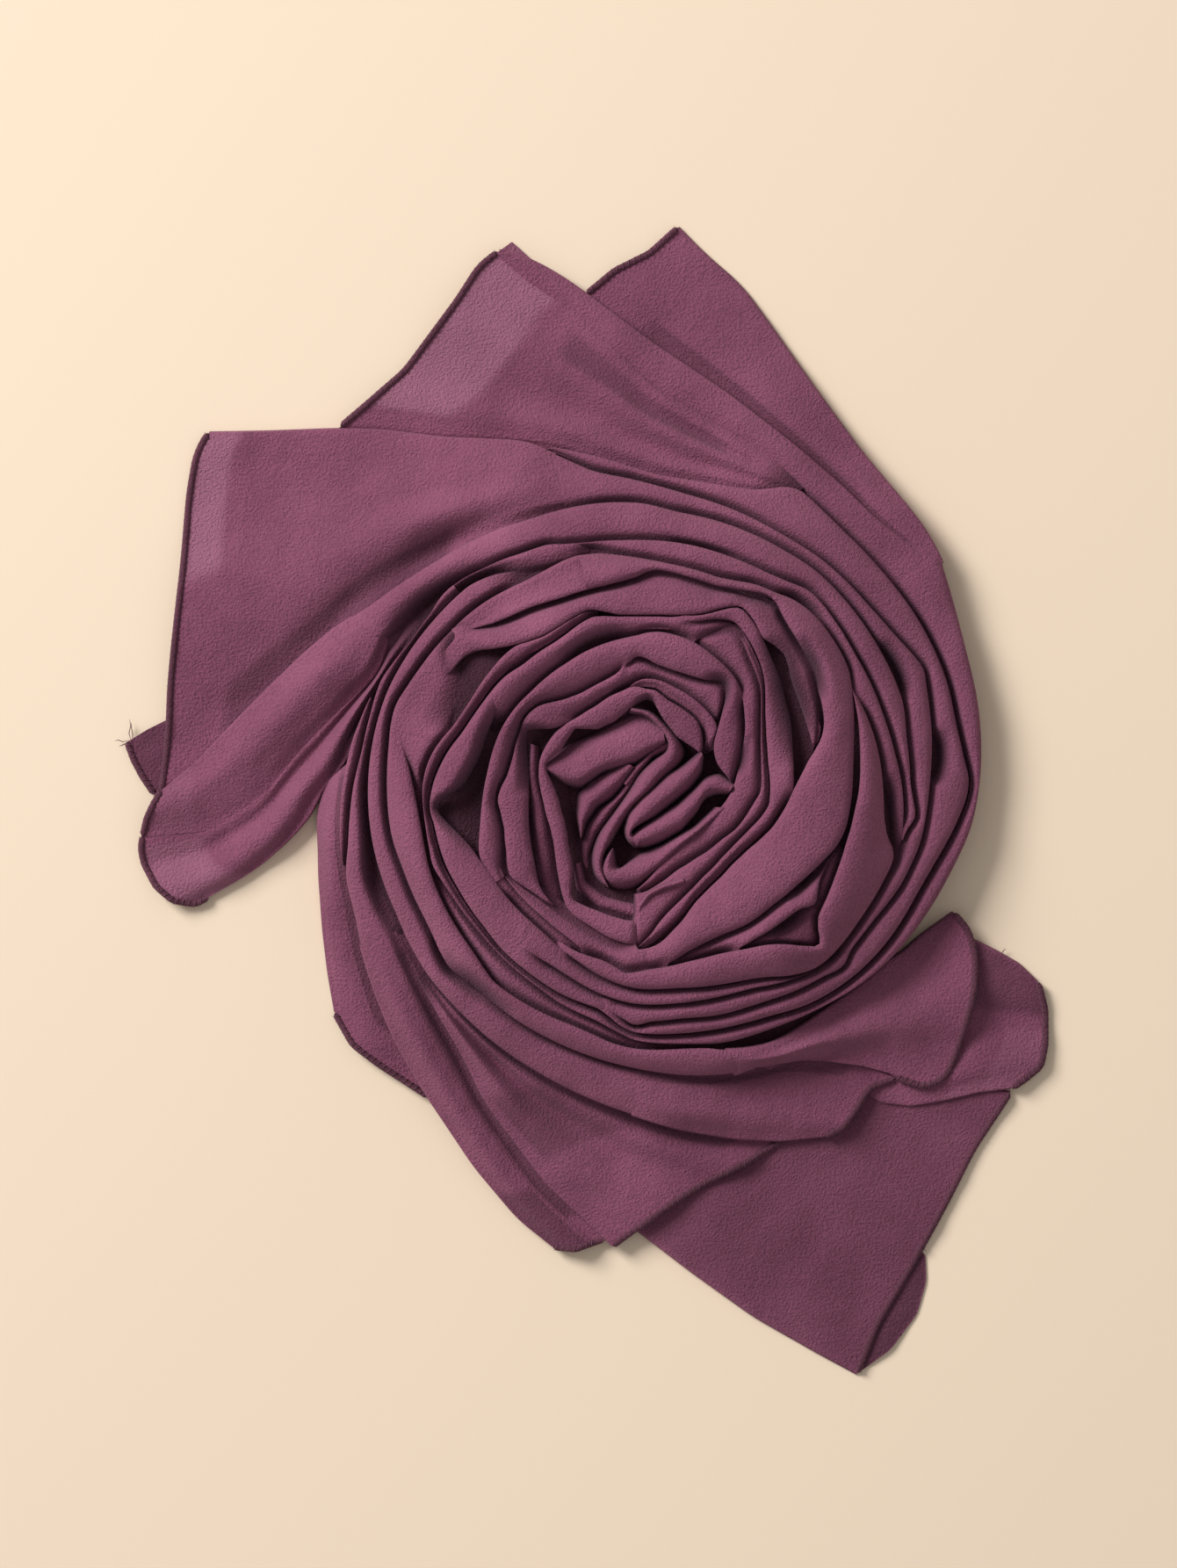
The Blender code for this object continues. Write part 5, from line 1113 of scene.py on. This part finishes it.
def rolled_hem(name, rim):
    """The hem along a rim: a rolled edge, and the overlock's slanting stitches over it."""
    rim = [(x, y, max(z, HEM + 0.05)) for x, y, z in rim]
    lengths = [math.dist(rim[i], rim[i + 1]) for i in range(len(rim) - 1)]
    total = sum(lengths)
    count = max(3, round(total / (STITCH / 2)))

    def at(length):
        left = min(max(length, 0.0), total)
        for i, run in enumerate(lengths):
            if left <= run or i == len(lengths) - 1:
                return Vector(rim[i]).lerp(Vector(rim[i + 1]), min(1.0, left / run if run else 0.0))
            left -= run

    path = []
    for i in range(count + 1):
        spot = at(total * i / count)
        swing = noise.noise(Vector((spot.x / 3, spot.y / 3, 9))) * 0.25
        path.append((spot.x, spot.y, spot.z + swing * 0.5 + (0.12 if i % 2 else -0.06)))
    points, faces = tube(path, HEM, 8, FLATNESS)
    rolled = cloth_piece("hem_" + name, points, faces)
    finish_with(rolled, ROLLED)
    loops = []
    for i in range(int(total / STITCH)):
        middle = at(STITCH * (i + 0.5))
        ahead = at(STITCH * (i + 0.5) + 0.6) - at(STITCH * (i + 0.5) - 0.6)
        ahead.normalize()
        side = ahead.cross(Vector((0, 0, 1))).normalized()
        loop = []
        for k in range(6):
            a = math.pi * (0.02 + 0.96 * k / 5)
            slant = (k / 5 - 0.5) * STITCH * 0.75
            loop.append(tuple(middle + ahead * slant + side * math.cos(a) * (HEM + 0.12)
                              + Vector((0, 0, math.sin(a) * (HEM * FLATNESS + 0.14)))))
        loops.append(loop)
    return [rolled, threads("stitches_" + name, loops, STRAND)]


# How each fan is laid; fanned_cloth says what the words mean.
# Patch levels below 0 are painted shade, along a tucked side and over the small corner flap.
UPPER_CLOTH = {
    "fan_left_corner": dict(edges=(None, None), back=9.0, sheer_and_shade=((0.0, 1.0, 0.0, 1.0, -0.5),)),
    "fan_left_upper": dict(edges=("drop", "tuck"), joins=("pleat_top_third", 104, 0, 1),
                           folds=((0.45, 0.2, -2.4, 0.16, 0.7), (0.62, 0.55, 4.2, 0.15, 0.35),
                                  (0.86, 0.9, -4.5, 0.11, 0.3), (0.3, 0.38, 1.6, 0.1, 0.6)),
                           sheer_and_shade=((0.90, 1.0, 0.0, 0.42, 0.85), (0.25, 0.86, 0.78, 1.0, -0.45))),
    "fan_left_ridge": dict(edges=("fold", "fold"), joins=("pleat_top_fourth", 149.5, 0, 1),
                           folds=((0.42, 0.45, 3.6, 0.3, 0.25),), hem_lip=0.1,
                           sheer_and_shade=((0.84, 1.0, 0.0, 1.0, 0.2),)),
    "fan_left_lower": dict(edges=("tuck", "drop"), emerge=(6.0, 0.3),
                           folds=((0.3, 0.25, -3.0, 0.12, 0.3), (0.6, 0.6, 3.4, 0.17, 0.3),
                                  (0.85, 0.85, -1.5, 0.08, 0.4)),
                           sheer_and_shade=((0.84, 1.0, 0.1, 1.0, 0.6),)),
    "fan_top_edge": dict(edges=("fold", "tuck"), joins=("pleat_right_outer", 38, 0.27, 1), hem=False,
                         folds=((0.5, 0.5, 1.5, 0.3, 0.3),)),
    "fan_top_face": dict(edges=("tuck", "tuck"), emerge=(1.5, 0.1),
                         folds=((0.22, 0.12, -2.6, 0.09, 0.3), (0.4, 0.32, 2.8, 0.12, 0.3),
                                (0.62, 0.62, -2.0, 0.12, 0.4), (0.8, 0.8, 2.0, 0.12, 0.4)),
                         sheer_and_shade=((0.80, 1.0, 0.0, 0.86, 0.8), (0.2, 0.7, 0.1, 0.28, -0.3))),
    "fan_top_back": dict(edges=("drop", "tuck"), joins=("pleat_right_outer", 38, 0, 0.25),
                         folds=((0.5, 0.55, 1.6, 0.25, 0.3), (0.9, 0.9, -2.4, 0.12, 0.3)),
                         sheer_and_shade=((0.05, 0.85, 0.8, 1.0, -0.4),)),
}
for fan in UPPER_FANS:
    fanned_cloth(fan, **UPPER_CLOTH[fan["name"]])

# The lower right end of the scarf.
# The other short end of the crepe fans out in wide lobes, hemmed in the same way, with one corner of
# a single layer under them.
LOWER_FANS = (
    dict(name="fan_low_first", heights=(6.0, 15.6, 1.8, 2.6), swell=0.8,
         a=((367, 900), (362, 925), (362, 1000), (366, 1060), (372, 1110), (380, 1155)),
         b=(("O", -184), ("O", -176), ("O", -168), ("N", -160), ("N", -150), ("N", -140),
            ("N", -132), (487, 1250)),
         end=((380, 1155), (400, 1190), (430, 1213), (487, 1250))),
    dict(name="fan_low_second", heights=(14.8, 18.8, 2.8, 3.6), swell=0.9,
         a=(("N", -149.6), ("N", -140), ("N", -132), (487, 1250), (540, 1330), (590, 1390),
            (630, 1422)),
         b=(("Q", -149.6), ("Q", -143), ("Q", -133), ("Q", -123), ("Q", -114), (620, 1350),
            (688, 1413)),
         end=((630, 1422), (655, 1424), (688, 1413))),
    dict(name="fan_low_third", heights=(20.6, 18.6, 4.6, 5.0), swell=1.2,
         a=(("Q", -139), ("Q", -133), ("Q", -123), ("Q", -114), (623, 1349), (698, 1420)),
         b=(("P", -139), ("P", -125), ("P", -110), ("P", -95), ("P", -80), (840, 1297),
            (890, 1300)),
         end=((698, 1420), (725, 1400), (760, 1375), (800, 1350), (850, 1325), (890, 1300))),
    dict(name="fan_low_lobe", heights=(14.0, 19.0, 5.6, 6.0), swell=1.2,
         a=(("P", -89.6), ("P", -80), (840, 1297), (890, 1300), (940, 1295)),
         b=(("M", -89.6), ("M", -75), ("M", -60), (930, 1206), (965, 1210), (1000, 1219),
            (1019, 1229)),
         end=((940, 1295), (960, 1285), (975, 1265), (990, 1240), (1019, 1229))),
    dict(name="fan_right_lobe", heights=(18.2, 21.2, 6.0, 6.2), swell=1.4,
         a=(("M", -69.6), (870, 1211), (899, 1201), (928, 1201), (965, 1206), (1000, 1216),
            (1021, 1227)),
         b=(("T", -69.6), ("T", -60), ("T", -50), ("T", -40), ("T", -33), (1022, 1092),
            (1050, 1067), (1088, 1040)),
         end=((1021, 1227), (1050, 1238), (1065, 1235), (1080, 1225), (1090, 1200), (1100, 1170),
              (1110, 1130), (1112, 1090), (1105, 1060), (1088, 1040))),
    dict(name="fan_right_back", heights=(3.6, 4.4, 2.0, 3.2), swell=0.3,
         start=((1108, 1070), (1112, 1090), (1110, 1130), (1100, 1168), (1088, 1196), (1060, 1216),
                (1010, 1225), (984, 1240)),
         a=((1111, 1070), (1140, 1085), (1165, 1100), (1185, 1120)),
         b=((984, 1240), (1005, 1256), (1040, 1260), (1077, 1254), (1120, 1244), (1155, 1240)),
         end=((1185, 1120), (1193, 1150), (1193, 1190), (1188, 1215), (1170, 1230), (1155, 1240))),
    dict(name="fan_low_under", heights=(3.2, 3.2, 1.8, 1.8), swell=0.0,
         start=((727, 1402), (761, 1379), (800, 1354), (851, 1328), (892, 1303), (939, 1294),
                (962, 1284), (976, 1264), (985, 1238)),
         a=((727, 1402), (790, 1450), (860, 1500), (930, 1540), (978, 1566)),
         b=((985, 1238), (1010, 1234), (1050, 1236), (1080, 1236), (1110, 1234), (1152, 1238)),
         end=((978, 1566), (1000, 1510), (1030, 1460), (1050, 1425), (1080, 1370), (1110, 1310),
              (1140, 1265), (1152, 1246))),
)
# Patch levels below 0 are painted shade: along the tucked sides, near the hems between lobes and over the
# flaps that lie in shade under the lobes.
LOWER_CLOTH = {
    "fan_low_first": dict(edges=("drop", "tuck"), folds=((0.5, 0.5, 1.4, 0.25, 0.3),),
                          sheer_and_shade=((0.0, 0.8, 0.75, 1.0, -0.5),)),
    "fan_low_second": dict(edges=("fold", "tuck"), joins=("pleat_left_first", -150, 0, 1),
                           folds=((0.35, 0.4, 3.0, 0.22, 0.3), (0.85, 0.85, -3.4, 0.12, 0.3)),
                           sheer_and_shade=((0.05, 0.9, 0.78, 1.0, -0.55), (0.78, 1.0, 0.0, 0.7, -0.45))),
    "fan_low_third": dict(edges=("fold", "tuck"), back=1.0, emerge=(5.0, 0.15),
                          folds=((0.3, 0.25, 4.0, 0.15, 0.3), (0.55, 0.55, -3.2, 0.12, 0.3),
                                 (0.75, 0.75, 2.0, 0.12, 0.3), (0.95, 0.95, -2.5, 0.1, 0.3)),
                          sheer_and_shade=((0.0, 0.9, 0.88, 1.0, -0.5), (0.42, 0.66, 0.1, 0.8, -0.35))),
    "fan_low_lobe": dict(edges=("fold", "tuck"), joins=("pleat_left_second", -90, 0, 1),
                         folds=((0.3, 0.3, 2.4, 0.2, 0.3), (0.88, 0.88, -2.5, 0.14, 0.3)),
                         sheer_and_shade=((0.0, 0.85, 0.8, 1.0, -0.4),)),
    "fan_right_lobe": dict(edges=("fold", "drop"), joins=("pleat_left_lower", -70, 0, 1),
                           folds=((0.28, 0.3, -3.4, 0.16, 0.25), (0.52, 0.56, 3.2, 0.16, 0.3),
                                  (0.8, 0.8, -1.0, 0.12, 0.4))),
    "fan_right_back": dict(edges=("drop", "drop"), back=12.0,
                           folds=((0.35, 0.3, -1.6, 0.12, 0.3), (0.6, 0.55, 1.6, 0.2, 0.3)),
                           sheer_and_shade=((0.0, 1.0, 0.0, 0.3, -0.4), (0.5, 1.0, 0.4, 1.0, 0.25))),
    "fan_low_under": dict(edges=("drop", "drop"), back=12.0, sheer_and_shade=((0.0, 1.0, 0.0, 1.0, -0.3),)),
}
for fan in LOWER_FANS:
    fanned_cloth(fan, **LOWER_CLOTH[fan["name"]])
TURNED_CORNER = dict(
    name="turned_corner", heights=(1.2, 1.2, 1.0, 1.0), swell=0.4,
    a=((1044, 1420), (1020, 1470), (1000, 1510), (976, 1562)),
    b=((1056, 1434), (1057, 1462), (1046, 1500), (1016, 1540), (980, 1566)),
    start=((1044, 1420), (1056, 1434)),
    end=((976, 1562), (980, 1566)))
# Painted shade darkens all of it, where it peeks out from under the lower flap's hem.
fanned_cloth(TURNED_CORNER, (None, None), sheer_and_shade=((0.0, 1.0, 0.0, 1.0, -0.6),), hem=False, back=0.5,
             stands_for=False, steps=30, across=10)

# Tails of the hem thread.
# Where the overlock ends at a corner, a few cut ends of its polyester thread stand off the cloth,
# held by nothing but the last stitches.
TAILS = (
    ((146, 842), (144, 834), (146, 826), (145, 818)),
    ((148, 842), (148, 835), (147, 828), (147, 822)),
    ((144, 842), (137, 844), (132, 842), (128, 843)),
    ((144, 845), (140, 846), (136, 848), (133, 849)),
    ((1048, 1423), (1051, 1425), (1055, 1425), (1057, 1427)),
    ((1143, 1087), (1144, 1085), (1146, 1082), (1148, 1081)),
)
RISE = 0.5                       # mm that a tail rises from point to point
threads("thread_tails", [[(*place(spot), 0.9 + RISE * k) for k, spot in enumerate(tail)]
                         for tail in TAILS], 0.16)

# Floor, light and camera.
# A plain pale floor, one large soft light from the upper left and the camera straight above.
floor_mesh = bpy.data.meshes.new("floor")
floor_mesh.from_pydata([(-3, -3, 0), (3, -3, 0), (3, 3, 0), (-3, 3, 0)], [], [(0, 1, 2, 3)])
floor = bpy.data.objects.new("floor", floor_mesh)
bpy.context.scene.collection.objects.link(floor)
floor_paint = bpy.data.materials.new("floor")
floor_paint.use_nodes = True
floor_shader = floor_paint.node_tree.nodes["Principled BSDF"]
floor_shader.inputs["Base Color"].default_value = (0.90, 0.735, 0.565, 1)
floor_shader.inputs["Roughness"].default_value = 0.9
floor_mesh.materials.append(floor_paint)

bpy.context.scene.view_settings.view_transform = "Standard"
world = bpy.data.worlds.new("studio")
bpy.context.scene.world = world
world.use_nodes = True
sky = world.node_tree.nodes["Background"]
sky.inputs["Color"].default_value = (1.0, 0.985, 0.97, 1)
sky.inputs["Strength"].default_value = 0.37

key = bpy.data.lights.new("key", "AREA")
key.energy = 139
key.size = 1.5
key.color = (1.0, 0.99, 0.98)
key_lamp = bpy.data.objects.new("key", key)
key_lamp.location = (-2.3, 1.75, 1.95)
key_lamp.rotation_euler = (Vector((0, 0, 0)) - key_lamp.location).to_track_quat("-Z", "Y").to_euler()
bpy.context.scene.collection.objects.link(key_lamp)

SENSOR = 36                      # mm
EYE_HEIGHT = 2.4                 # metres above the floor
VIEW_HEIGHT = 0.5578             # metres that the picture takes in from top to bottom
MEASURED_AT = 0.015              # metres above the floor, where it does so
lens = bpy.data.cameras.new("camera")
lens.sensor_fit = "VERTICAL"
lens.sensor_height = SENSOR
lens.lens = SENSOR * (EYE_HEIGHT - MEASURED_AT) / VIEW_HEIGHT
eye = bpy.data.objects.new("camera", lens)
eye.location = (0.0006, 0.0058, EYE_HEIGHT)
bpy.context.scene.collection.objects.link(eye)
bpy.context.scene.camera = eye
